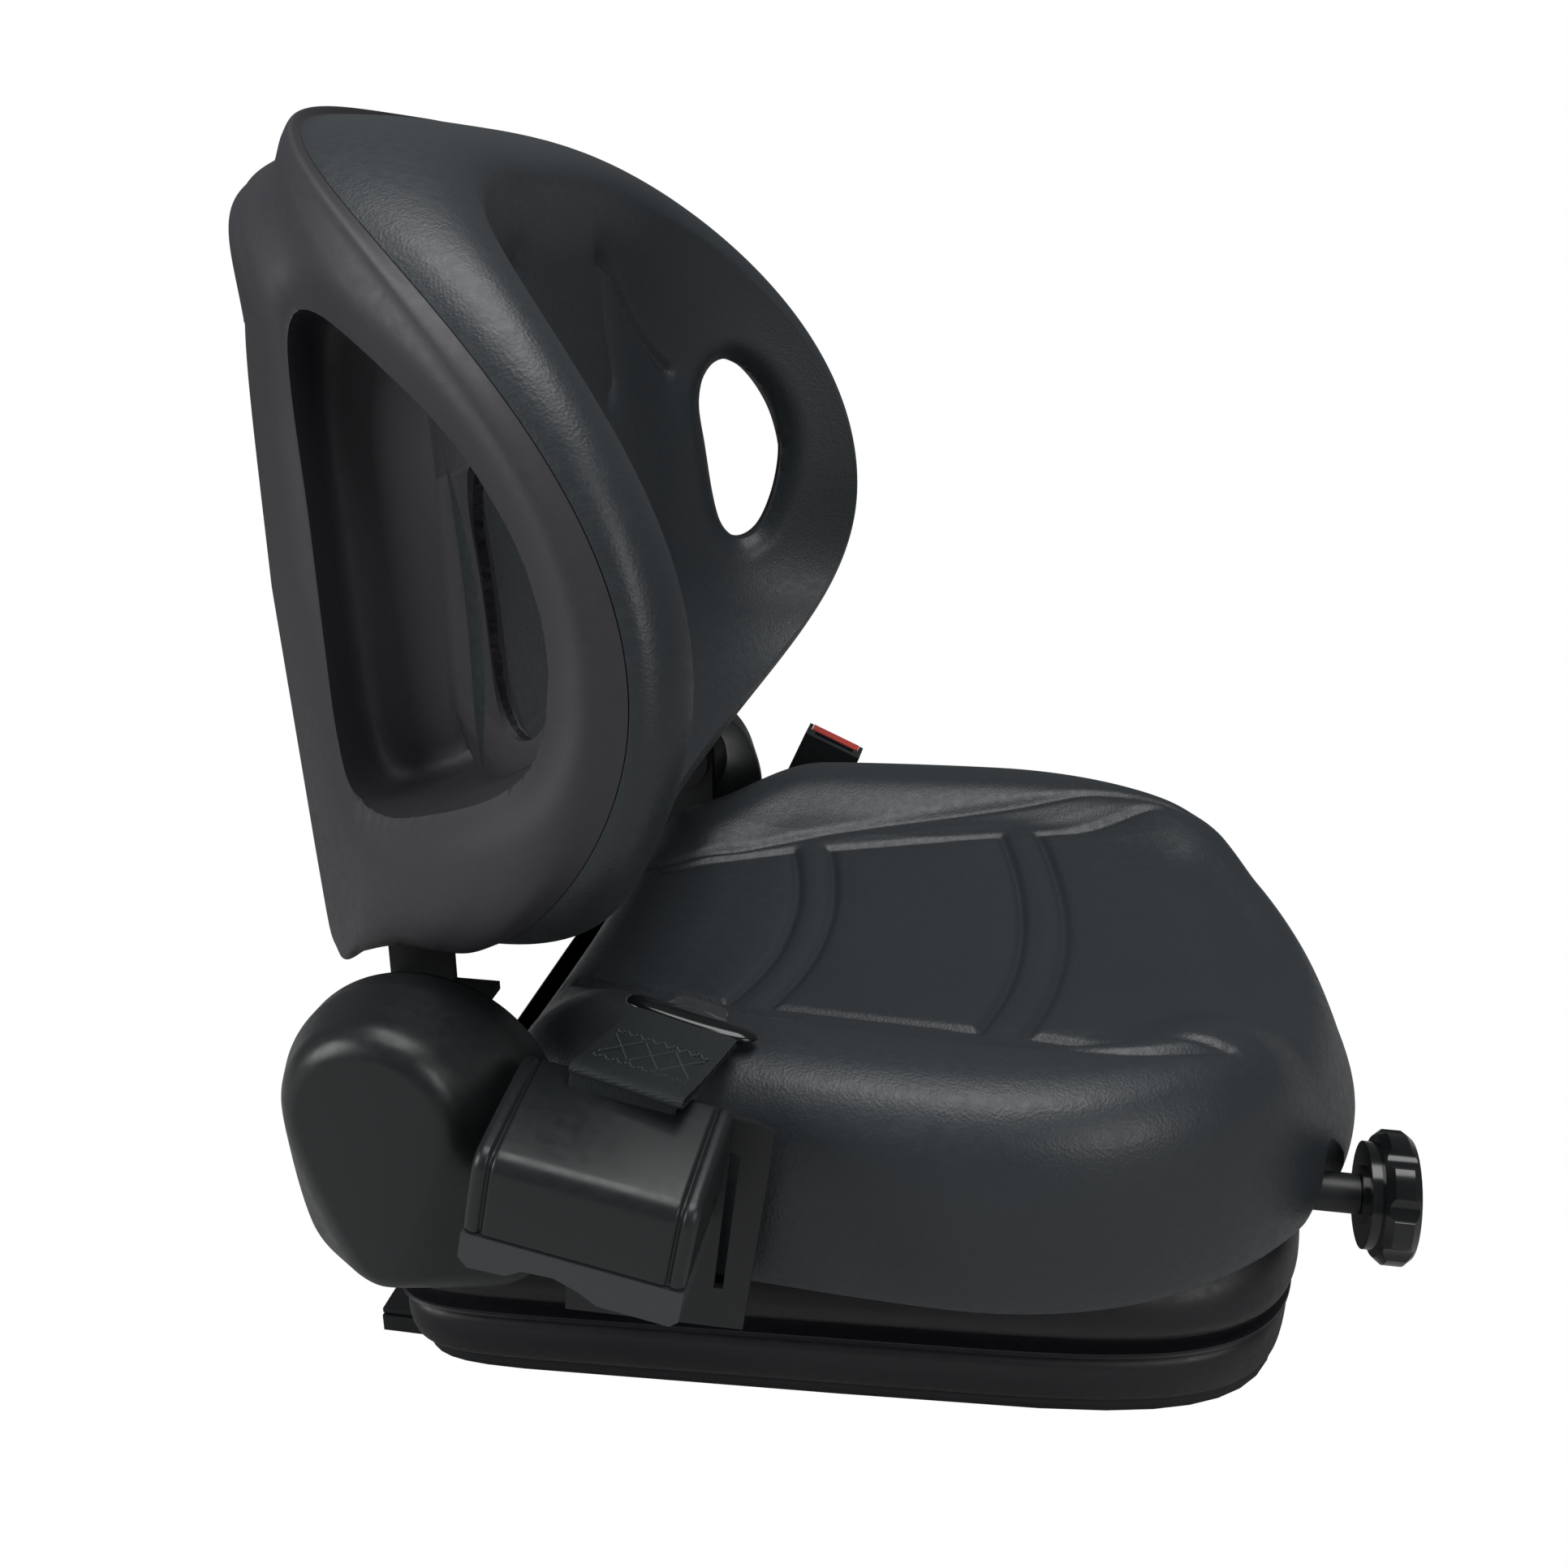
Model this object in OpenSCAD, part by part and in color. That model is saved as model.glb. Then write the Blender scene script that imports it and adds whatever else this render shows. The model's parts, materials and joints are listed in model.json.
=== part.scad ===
/* [Slide rails] */
// Length of each lower slide rail
rail_len = 260; // [250:2:270]
// Length of each upper slide rail
upper_len = 330; // [320:2:340]
// Width of each slide rail
rail_w = 38; // [36:1:44]
// Height of a lower and an upper rail together
slide_h = 12.5; // [12:0.1:13]
// Distance from the middle of the seat to the middle of each rail
rail_y = 124; // [120:1:128]
// Sheet thickness of the rails
rail_t = 2.5; // [2.3:0.1:2.5]
// Spacing of the mounting bolts along the rails
bolt_x = 200; // [190:5:210]
// Distance of the seat ahead of the middle of the rails
seat_x = 107; // [102:1:110]
// Diameter of the mounting holes
bolt_d = 9; // [8:0.5:11]
// Spacing of the latch notches
notch_pitch = 25; // [22:0.5:26]

/* [Suspension] */
// Length of the rubber bellows along the seat
bellows_len = 412; // [406:1:418]
// Width of the rubber bellows at its foot
bellows_w = 324; // [320:1:330]
// Height from the floor plate to the cushion pan
susp_h = 92; // [88:1:96]
// Thickness of the floor plate
floor_t = 3; // [2.5:0.1:3.5]
// Wall of the bellows
bellows_wall = 2.5; // [2:0.1:3.5]
// Span of a scissor arm between its pivot and its glide
arm_span = 280; // [270:1:286]
// Thickness of a scissor arm
arm_t = 5; // [4:0.5:5]
// Diameter of the pivot pins
pin_d = 10; // [8:0.5:11]
// Diameter of the plastic glides
glide_d = 16; // [15:0.5:17]
// Outer diameter of a suspension spring
spring_d = 36; // [30:1:40]
// Wire of a suspension spring
spring_wire = 5; // [4:0.5:6]
// Turns of a suspension spring
spring_turns = 6; // [5:1:7]

/* [Weight adjuster] */
// Diameter of the knob
knob_d = 60; // [54:1:64]
// Thickness of the knob's grip
knob_t = 15; // [14:1:18]
// Lobes around the knob
knob_lobes = 8; // [6:1:10]
// Distance of the adjuster from the middle of the seat
knob_y = 110; // [106:1:112]
// Height of the adjuster above the floor plate
knob_z = 103; // [102:0.5:105]
// Diameter of the threaded shaft
screw_d = 12; // [10:0.5:13]

/* [Cushion] */
// Overall width of the cushion
cushion_w = 440; // [430:1:446]
// Front of the cushion, ahead of the middle of the bolt pattern
nose_x = 243; // [238:1:246]
// Height of the side bolsters above the floor plate
bolster_z = 193; // [188:1:196]
// Depth of the sewn-look creases
crease_r = 3; // [2:0.2:4]
// Thickness of the steel cushion pan
pan_t = 3; // [2.5:0.1:3.5]

/* [Backrest] */
// Half width of the wings at the seam
wing_w = 252; // [248:1:254]
// Top of the backrest above the floor plate
back_top = 565; // [555:1:575]
// Forward reach of the wings at the seam
wing_x = -64.5; // [-68:0.5:-62]
// Thickness of the backrest padding
pad_t = 20; // [18:1:22]
// Wall of the plastic back shell
shell_t = 4; // [3:0.25:5]
// Depth of the shell's box behind the padding
box_x = -242; // [-246:1:-240]
// Half width of the shell's box
box_w = 165; // [162:1:168]
// Height of each hand hole
hole_h = 104; // [96:1:108]
// Width of each hand hole
hole_w = 44; // [40:1:46]

/* [Recliner] */
// Recline axis, along the seat
hinge_x = -162; // [-164:1:-160]
// Recline axis, above the floor plate
hinge_z = 181; // [179:1:183]
// Diameter of the recliner pivot
hinge_d = 14; // [12:0.5:16]
// Thickness of the recliner plates
plate_t = 4; // [3.5:0.25:4.5]
// Depth of the side covers
cover_d = 46; // [42:1:48]

/* [Belt] */
// Width of the belt webbing
web_w = 47; // [45:1:50]
// Length of the retractor housing
retractor_len = 86; // [80:1:90]
// Depth of the retractor housing
retractor_d = 56; // [52:1:58]
// Tilt of the retractor
retractor_tilt = 11; // [8:1:13]
// Width of the buckle
buckle_w = 40; // [38:1:44]
// Tilt of the buckle
buckle_tilt = 24; // [20:1:26]

/* [Hidden] */
$fn = 48;
fine_fn = 64;
ball_fn = 12;
round_fn = 32;
gap = 0.3;
fit = 0.05;
eps = 0.01;

vinyl = "#33383b";
shell_colour = "#39393f";
satin_black = "#1f2324";
gloss_black = "#16181a";
steel = "#8d9296";
zinc = "#b9bdc0";
webbing_colour = "#23282b";
skirt_grey = "#3a3d40";
button_red = "#d2463c";

function sgnpow(x, p) = sign(x) * pow(abs(x), p);
function blend(a, b, t) = a + (b - a) * t;
function clamp(x, a, b) = max(a, min(b, x));
function smooth(a, b, x) = let (t = clamp((x - a) / (b - a), 0, 1)) t * t * (3 - 2 * t);

// Faces of a tube made of rings; ring i joins ring i + 1 and, when closed, the last joins the first
function ring_faces(rings, n, closed) = [
  for (i = [0 : (closed ? rings - 1 : rings - 2)], j = [0 : n - 1])
    let (a = i * n, b = ((i + 1) % rings) * n, k = (j + 1) % n)
      each [[a + j, a + k, b + k], [a + j, b + k, b + j]]
];
// A closed body from rings of points with a pole at each end
module capped_rings(pole_a, rings, pole_b) {
  n = len(rings[0]);
  m = len(rings);
  points = [for (r = rings) each r, pole_a, pole_b];
  faces = concat(
    ring_faces(m, n, false),
    [for (j = [0 : n - 1]) [m * n, (j + 1) % n, j]],
    [for (j = [0 : n - 1]) [m * n + 1, (m - 1) * n + j, (m - 1) * n + (j + 1) % n]]
  );
  polyhedron(points = points, faces = faces, convexity = 8);
}
// Everything above the rails stands on the slide height
module on_slide() { translate([seat_x, 0, slide_h]) children(); }
// A profile in Y and Z, drawn out along X
module along_x(x0, length) { translate([x0, 0, 0]) rotate([90, 0, 90]) linear_extrude(length) children(); }
// A profile in X and Z, drawn out towards +Y
module along_y(y0, length) {
  translate([0, y0 + length, 0]) rotate([90, 0, 0]) linear_extrude(length) children();
}
module rod_y(d, y0, length) { translate([0, y0, 0]) rotate([-90, 0, 0]) cylinder(d = d, h = length); }
module both_sides() { for (s = [0, 1]) mirror([0, s, 0]) children(); }

// Slide rails
lip_t = rail_t;
rail_open = 20;
rail_side_gap = 0.5;
lower_rail_h = slide_h - rail_t - 1;
flange_top = lower_rail_h - lip_t - rail_side_gap;
flange_t = 2.2;
notch_w = 9;
notches = 3;
notch_shift = 1.5;
module lower_rail_profile() {
  difference() {
    translate([-rail_w / 2, 0]) square([rail_w, lower_rail_h]);
    translate([-rail_w / 2 + rail_t, rail_t]) square([rail_w - 2 * rail_t, lower_rail_h - rail_t - lip_t]);
    translate([-rail_open / 2, rail_t]) square([rail_open, lower_rail_h]);
  }
}
module upper_rail_profile() {
  leg = rail_open / 2 - rail_side_gap;
  translate([-rail_w / 2 + 1, slide_h - rail_t]) square([rail_w - 2, rail_t]);
  for (s = [-1, 1]) {
    translate([s > 0 ? leg - flange_t : -leg, flange_top - flange_t])
      square([flange_t, slide_h - rail_t - flange_top + flange_t + eps]);
    translate([s > 0 ? leg - flange_t : -rail_w / 2 + rail_t + rail_side_gap, flange_top - flange_t])
      square([rail_w / 2 - rail_t - rail_side_gap - leg + flange_t, flange_t]);
  }
}
module lower_rail(side) {
  color(steel) difference() {
    translate([0, side * rail_y, 0]) along_x(-rail_len / 2, rail_len) lower_rail_profile();
    for (x = [-bolt_x / 2, bolt_x / 2])
      translate([x, side * rail_y, -1]) cylinder(d = bolt_d, h = rail_t + 2);
    if (side > 0)
      for (i = [-notches : notches])
        translate([lever_x - lever_tail + notch_shift + i * notch_pitch - notch_w / 2, rail_y - rail_w / 2 - 1, rail_t])
          cube([notch_w, rail_t + 2, lower_rail_h - rail_t - lip_t + 0.5]);
  }
}
module upper_rail(side) {
  color(steel) translate([0, side * rail_y, 0]) along_x(-rail_len / 2, upper_len) upper_rail_profile();
}

// Latch lever for the slide, turning about an upright pin inside the left rail
lever_x = 50;
lever_y = rail_y - rail_w / 2 - 16;
lever_tail = 34;
lever_t = 2.1;
lever_top = rail_t + 1.3 + lever_t;
lever_pin_d = 8;
lever_reach = 190;
lever_bar = 14;
tooth_w = notch_w - 3.4;
tooth_gap = 1.6;
module slide_lever() {
  color(satin_black) difference() {
    union() {
      translate([lever_x, lever_y, lever_top - lever_t]) cylinder(d = 22, h = lever_t);
      translate([lever_x, lever_y - lever_bar / 2, lever_top - lever_t]) cube([lever_reach, lever_bar, lever_t]);
      translate([lever_x - lever_tail - tooth_w / 2, lever_y - lever_bar / 2, lever_top - lever_t])
        cube([lever_tail + tooth_w / 2, lever_bar, lever_t]);
      translate([lever_x - lever_tail - tooth_w / 2, lever_y, lever_top - lever_t])
        cube([tooth_w, rail_y - rail_w / 2 - tooth_gap - lever_y, lever_t]);
    }
    translate([lever_x, lever_y, 0]) cylinder(d = lever_pin_d + 2 * fit, h = slide_h);
  }
}
module slide_lever_grip() {
  color(gloss_black) difference() {
    hull() for (x = [lever_x + lever_reach - 50, lever_x + lever_reach + 4])
      translate([x, lever_y, lever_top - lever_t / 2 + 0.25]) cylinder(d = 24, h = 9, center = true, $fn = round_fn);
    translate([lever_x, lever_y - lever_bar / 2, lever_top - lever_t]) cube([lever_reach, lever_bar, lever_t]);
  }
}
module lever_pivot() {
  color(zinc) {
    translate([lever_x, lever_y, lever_top - lever_t - 2.5]) cylinder(d = lever_pin_d + 6, h = 2.2);
    translate([lever_x, lever_y, lever_top - lever_t - 1]) cylinder(d = lever_pin_d, h = slide_h - lever_top + lever_t + 1);
  }
}

// Outline of the bellows: a rounded oblong that is squarer at the rear and a little wider there
bellows_n = 44;
bellows_taper = 0.065;
function bellows_point(i, grow) =
  let (
    a = 360 * i / bellows_n,
    front = cos(a) >= 0,
    power = front ? 4.8 : 12,
    reach = bellows_len / 2 + (front ? 3 + 0.15 * grow : 4 + 0.3 * grow),
    x = reach * sgnpow(cos(a), 2 / power),
    half = bellows_w / 2 - bellows_taper * x + grow
  ) [x, half * sgnpow(sin(a), 2 / power)];
function bellows_outline(grow) = [for (i = [0 : bellows_n - 1]) bellows_point(-i, grow)];
// Height above the floor plate and swell of the two folds
bellows_h = susp_h - floor_t - 2 * gap;
bellows_fold = [
  [0, 0], [0.04, 0.5], [0.12, 8], [0.27, 13], [0.42, 13], [0.455, 18], [0.48, 18],
  [0.51, 14], [0.64, 22], [0.80, 19], [0.93, 8], [1, -4]
];
module suspension_bellows() {
  outer = [for (p = bellows_fold) [for (q = bellows_outline(p[1])) [q[0], q[1], floor_t + gap + p[0] * bellows_h]]];
  m = len(bellows_fold);
  inner = [for (k = [0 : m - 1]) let (p = bellows_fold[m - 1 - k])
    [for (q = bellows_outline(min(p[1], 14) - bellows_wall)) [q[0], q[1], floor_t + gap + p[0] * bellows_h]]];
  loops = concat(outer, inner);
  color(gloss_black) on_slide()
    polyhedron(
      points = [for (r = loops) each r],
      faces = ring_faces(len(loops), bellows_n, true),
      convexity = 8
    );
}

// Scissor linkage
glide_gap = 0.7;
pivot_x = -arm_span / 2 - 10;
glide_x = pivot_x + arm_span;
low_z = floor_t + glide_gap + glide_d / 2;
frame_t = 3;
high_z = susp_h - frame_t - glide_gap - glide_d / 2;
arm_rise = high_z - low_z;
arm_angle = atan(arm_rise / arm_span);
arm_len = sqrt(arm_span * arm_span + arm_rise * arm_rise);
arm_h = glide_d;
outer_arm_y = 113;
inner_arm_y = outer_arm_y - arm_t - 3;
ear_t = 3;
channel_y = outer_arm_y + arm_t + 1.5;
channel_w = 20;
channel_gap = glide_d + 2 * glide_gap;
rod_end = channel_y + channel_w - ear_t - 2;
// One flat arm from its pivot at the origin, with a bore at its pivot and at its middle
module arm_bar(y0, rise_sign, mid_bore) {
  rotate([0, -rise_sign * arm_angle, 0]) difference() {
    union() {
      translate([0, y0, -arm_h / 2]) cube([arm_len, arm_t, arm_h]);
      rod_y(arm_h, y0, arm_t);
      translate([arm_len, 0, 0]) rod_y(arm_h, y0, arm_t);
    }
    rod_y(pin_d + 2 * fit, y0 - 1, arm_t + 2);
    translate([arm_len / 2, 0, 0]) rod_y(mid_bore, y0 - 1, arm_t + 2);
  }
}
module outer_scissor_arms() {
  color(steel) on_slide() {
    both_sides() translate([pivot_x, 0, low_z]) arm_bar(outer_arm_y, 1, pin_d + 2 * fit);
    translate([glide_x, 0, high_z]) rod_y(pin_d, -rod_end, 2 * rod_end);
  }
}
module inner_scissor_arms() {
  color(steel) on_slide() {
    both_sides() translate([pivot_x, 0, high_z]) arm_bar(inner_arm_y, -1, pin_d + 2 * glide_gap);
    translate([glide_x, 0, low_z]) rod_y(pin_d, -rod_end, 2 * rod_end);
  }
}
module arm_glides(z) {
  color("#d8d6cc") on_slide() both_sides() translate([glide_x, 0, z]) difference() {
    rod_y(glide_d, channel_y + 1, rod_end - channel_y - 1);
    rod_y(pin_d + 2 * fit, channel_y, rod_end - channel_y + 1);
  }
}
module centre_bolts() {
  color(zinc) on_slide() both_sides() translate([pivot_x + arm_span / 2, 0, (low_z + high_z) / 2]) {
    rod_y(pin_d, inner_arm_y - 1, outer_arm_y + arm_t - inner_arm_y + 1);
    rod_y(pin_d + 6, inner_arm_y - 5, 4);
  }
}
module pivot_pins(z, y0, y1) {
  color(zinc) on_slide() both_sides() translate([pivot_x, 0, z]) {
    rod_y(pin_d, y0, y1 - y0);
    rod_y(pin_d + 5, y0 - 3, 3);
  }
}
// C-shaped channel that opens towards the middle of the seat
module glide_channel(z_mid) {
  length = 110;
  both_sides() translate([glide_x - length + 22, channel_y, z_mid]) difference() {
    translate([0, 0, -channel_gap / 2 - ear_t]) cube([length, channel_w, channel_gap + 2 * ear_t]);
    translate([-1, -1, -channel_gap / 2]) cube([length + 2, channel_w - ear_t + 1, channel_gap]);
  }
}
module pivot_ears(z, y0, z_root) {
  foot = abs(z_root - z);
  both_sides() difference() {
    union() {
      translate([pivot_x, 0, z]) rod_y(pin_d + 8, y0, ear_t);
      translate([pivot_x - pin_d / 2 - 4, y0, min(z, z_root)]) cube([pin_d + 8, ear_t, foot]);
    }
    translate([pivot_x, 0, z]) rod_y(pin_d + 2 * fit, y0 - 1, ear_t + 2);
  }
}
ear_gap = 1;
module suspension_base() {
  color(satin_black) on_slide() difference() {
    union() {
      linear_extrude(floor_t) polygon(bellows_outline(0));
      intersection() {
        glide_channel(low_z);
        translate([-rail_len, -rail_len, floor_t - eps]) cube([2 * rail_len, 2 * rail_len, susp_h]);
      }
      intersection() {
        pivot_ears(low_z, outer_arm_y + arm_t + ear_gap, floor_t);
        translate([-rail_len, -rail_len, floor_t - eps]) cube([2 * rail_len, 2 * rail_len, susp_h]);
      }
    }
    translate([pivot_x + 22, -60, -1]) cube([36, 120, floor_t + 2]);
    translate([70, -60, -1]) cube([70, 120, floor_t + 2]);
  }
}
frame_y = channel_y + channel_w;
frame_rear = pivot_x - 22;
frame_front = glide_x + 12;
module suspension_top_frame() {
  color(satin_black) on_slide() {
    difference() {
      translate([frame_rear, -frame_y, susp_h - frame_t]) cube([frame_front - frame_rear, 2 * frame_y, frame_t]);
      translate([frame_rear + 34, -inner_arm_y + 22, susp_h - frame_t - 1])
        cube([60, 2 * inner_arm_y - 44, frame_t + 2]);
      translate([spring_x - 26, -inner_arm_y + 12, susp_h - frame_t - 1])
        cube([52, 2 * inner_arm_y - 24, frame_t + 2]);
      translate([spring_x - 26, -knob_y - 14, susp_h - frame_t - 1]) cube([frame_front, 28, frame_t + 2]);
    }
    intersection() {
      glide_channel(high_z);
      translate([-rail_len, -rail_len, 0]) cube([2 * rail_len, 2 * rail_len, susp_h - frame_t + eps]);
    }
    pivot_ears(high_z, inner_arm_y - ear_gap - ear_t, susp_h - frame_t + eps);
  }
}

// Springs, damper and preload
spring_x = 10;
spring_y = 62;
damper_x = -60;
damper_d = 26;
damper_rod_d = 8;
damper_len = 56;
preload_t = 4;
wedge_slope = 0.2;
preload_z = susp_h - frame_t - 14;
spring_len = preload_z - floor_t - 2 * gap;
function helix_point(t, a) =
  let (
    turn = 360 * spring_turns * t,
    r = (spring_d - spring_wire) / 2 + spring_wire / 2 * cos(a),
    z = spring_wire / 2 + (spring_len - spring_wire) * t
  ) [r * cos(turn), r * sin(turn), z + spring_wire / 2 * sin(a)];
module spring(side) {
  steps = spring_turns * 8;
  sides = 5;
  rings = [for (i = [0 : steps]) [for (j = [0 : sides - 1]) helix_point(i / steps, 360 * j / sides)]];
  centre = (spring_d - spring_wire) / 2;
  color(zinc) on_slide() translate([spring_x, side * spring_y, floor_t + gap])
    capped_rings([centre, 0, spring_wire / 2], rings, [centre, 0, spring_len - spring_wire / 2]);
}
module preload_plate() {
  color(zinc) on_slide() translate([spring_x, 0, preload_z]) {
    for (s = [-1, 1]) {
      translate([0, s * spring_y, 0]) cylinder(d = spring_d, h = preload_t);
      translate([0, s * spring_y, -5]) cylinder(d = spring_d - 2 * spring_wire - 2, h = 5 + eps);
      translate([0, s * spring_y, preload_t - eps]) rotate([90, 0, 0]) linear_extrude(12, center = true)
        polygon([[-20, 0], [20, 0], [20, 5 - 20 * wedge_slope], [-20, 5 + 20 * wedge_slope]]);
    }
    translate([-8, -spring_y, 0]) cube([16, 2 * spring_y, preload_t]);
  }
}
module wedge_carriage() {
  color("#c9b27c") on_slide() translate([spring_x, 0, preload_z + preload_t + gap]) difference() {
    union() {
      for (s = [-1, 1])
        translate([0, s * spring_y, 0]) rotate([90, 0, 0]) linear_extrude(12, center = true)
          polygon([[-14, 5 + 14 * wedge_slope], [14, 5 - 14 * wedge_slope], [14, wedge_top], [-14, wedge_top]]);
      translate([-7, -knob_y - 9, wedge_top - eps]) cube([14, knob_y + spring_y + 15, 6]);
      translate([-14, -knob_y - 11, wedge_top - eps]) cube([28, 22, knob_z - preload_z - preload_t - gap - wedge_top + 11]);
    }
    translate([-20, -knob_y, knob_z - preload_z - preload_t - gap]) rotate([0, 90, 0])
      cylinder(d = screw_d + 2 * fit, h = 40);
  }
}
wedge_top = susp_h - preload_z - preload_t - gap + 1;
module damper_tube() {
  color(gloss_black) on_slide() translate([damper_x, 0, floor_t]) difference() {
    cylinder(d = damper_d, h = damper_len);
    translate([0, 0, 3]) cylinder(d = damper_rod_d + 0.2, h = damper_len);
  }
}
module damper_rod() {
  rod_low = floor_t + 33;
  color(zinc) on_slide() translate([damper_x, 0, 0]) {
    translate([0, 0, rod_low]) cylinder(d = damper_rod_d, h = susp_h - frame_t - rod_low);
    translate([0, 0, susp_h - frame_t - 4]) cylinder(d = 18, h = 4);
  }
}

// Weight adjuster
screw_x0 = spring_x - 40;
screw_x1 = 229;
shaft_d = 18;
module adjuster_screw() {
  color(satin_black) on_slide() translate([0, -knob_y, knob_z]) rotate([0, 90, 0]) {
    translate([0, 0, screw_x0]) cylinder(d = screw_d, h = screw_x1 - screw_x0 + 8);
    translate([0, 0, bearing_x + 6]) cylinder(d = shaft_d, h = screw_x1 - bearing_x - 6);
  }
}
bearing_x = 150;
module adjuster_knob() {
  skirt_t = 6.5;
  color(gloss_black) on_slide() translate([screw_x1 + gap, -knob_y, knob_z]) rotate([0, 90, 0]) difference() {
    union() {
      cylinder(d = 26, h = skirt_t);
      translate([0, 0, 1.5]) cylinder(d = knob_d - 12, h = skirt_t);
      translate([0, 0, skirt_t]) intersection() {
        difference() {
          cylinder(d = knob_d, h = knob_t);
          for (i = [0 : knob_lobes - 1])
            rotate([0, 0, 360 / knob_lobes * (i + 0.5)]) translate([knob_d / 2 + 7, 0, -1])
              cylinder(r = 9, h = knob_t + 2);
        }
        union() {
          translate([0, 0, 4]) cylinder(d = knob_d + 1, h = knob_t - 8);
          translate([0, 0, -eps]) cylinder(d1 = knob_d - 6, d2 = knob_d + 1, h = 4 + 2 * eps);
          translate([0, 0, knob_t - 4 - eps]) cylinder(d1 = knob_d + 1, d2 = knob_d - 6, h = 4 + eps);
        }
      }
    }
    translate([0, 0, -1]) cylinder(d = screw_d + 2 * fit, h = 10);
  }
}

// Outline of the cushion: straight sides, an elliptical front and a narrower tail
cushion_n = 56;
front_start = 50;
tail_x = -180;
tail_w = 186;
cushion_foot = susp_h + pan_t + 2 * gap;
function cushion_half(x) = blend(tail_w, cushion_w / 2, smooth(-125, -60, x));
// A point of the outline, drawn in by dy at the sides and dx at the nose and tail
function cushion_edge(i, dy, dx) =
  let (a = 360 * i / cushion_n, c = cos(a), s = sin(a))
    c >= 0
      ? [front_start + (nose_x - front_start - dx) * pow(c, 0.96), (cushion_w / 2 - dy) * sgnpow(s, 0.96)]
      : let (x = front_start + (front_start - tail_x - dx) * sgnpow(c, 0.28 + 0.9 * pow(abs(s), 3)))
        [x, (cushion_half(x) - dy) * sgnpow(s, 0.28)];
// Height of the seating face, without its creases
function panel_z(x, y) =
  let (
    rise = 173.5 + 0.055 * x,
    dish = -8 * (1 - pow(clamp(abs(y) / 115, 0, 1), 2)),
    nose = -30 * pow(clamp((x - 142) / 80, 0, 1.2), 2),
    tail = -16 * pow(clamp((-135 - x) / 45, 0, 1), 2),
    crest = (cushion_w / 2 - 42) * sqrt(max(0.05, 1 - pow(max(0, x - front_start) / 165, 2))),
    bolster = (bolster_z - 173 - 0.055 * x) * smooth(min(112 + 0.22 * x, 0.86 * crest), crest, abs(y))
      * (1 - smooth(170, 235, x)) * (1 - smooth(-140, -172, x))
  ) rise + dish + nose + tail + bolster;
// Rings from the middle of the seating face over the bolsters and down to the foot
cushion_rings = [
  [175, 158], [148, 134], [124, 112], [104, 94], [86, 78], [70, 64], [56, 52], [40, 40],
  [28, 32, -1.5], [17, 25, -6], [8, 19, -15], [3, 14, -27], [0, 8, -45], [1, 2, -66], [5, 4, -86]
];
function cushion_ring(k) =
  let (r = cushion_rings[k], edge = cushion_rings[7])
    [for (i = [0 : cushion_n - 1])
      let (
        q = cushion_edge(i, r[0], r[1]),
        e = cushion_edge(i, edge[0], edge[1]),
        top = panel_z(k < 8 ? q[0] : e[0], k < 8 ? q[1] : e[1]),
        drop = k < 8 ? 0 : r[2] / 86
      ) [q[0], q[1], k < 8 ? top : top + drop * (top - cushion_foot)]];
// Arcs across the seating face: front or rear edge of a panel, as [x at its ends, half width, bow]
panel_arcs = [[-66, 96, 14], [-45, 99, 13], [55, 119, 16], [76, 122, 17]];
// A crease as a chain of balls sunk in the seating face
module crease(path) {
  for (i = [0 : len(path) - 2]) hull() for (q = [path[i], path[i + 1]])
    translate([q[0], q[1], panel_z(q[0], q[1]) + crease_r * 0.35]) sphere(r = crease_r, $fn = 8);
}
hollow_top = knob_z + 18;
module seat_cushion() {
  n = 6;
  color(vinyl) on_slide() difference() {
    capped_rings(
      [front_start - 10, 0, panel_z(front_start - 10, 0)],
      [for (k = [0 : len(cushion_rings) - 1]) cushion_ring(k)],
      [front_start - 10, 0, cushion_foot]
    );
    for (arc = panel_arcs)
      crease([for (i = [0 : n]) let (t = 2 * i / n - 1) [arc[0] + arc[2] * (1 - t * t), arc[1] * t]]);
    both_sides() {
      crease([for (i = [0 : 4]) let (x = -147 + 258 * i / 4) [x, 131.5 + 0.3 * x - 0.0006 * x * x]]);
      crease([[111, 157], [140, 153], [161, 142], [118, 131], [76, 122]]);
      crease([[55, 119], [5, 109], [-45, 99]]);
      crease([[-66, 96], [-105, 84], [-140, 68]]);
    }
    // Hollow over the wedge carriage and the adjuster shaft
    translate([spring_x - 30, -knob_y - 15, cushion_foot - 1])
      cube([60, knob_y + spring_y + 28, hollow_top - cushion_foot]);
    translate([screw_x0 - 8, -knob_y - 15, cushion_foot - 1]) cube([200 - screw_x0, 30, hollow_top - cushion_foot]);
    // Notch for the adjuster shaft, an arched tunnel from the front corner
    hull() {
      translate([184, -knob_y - 4, knob_z - 2]) rotate([0, 90, 0]) cylinder(r = 17, h = 80, $fn = 24);
      translate([184, -knob_y - 4, knob_z + 20]) rotate([0, 90, 0]) cylinder(r = 4, h = 80, $fn = 24);
      translate([184, -knob_y - 27, cushion_foot - 5]) cube([80, 46, 4]);
    }
  }
}

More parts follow.
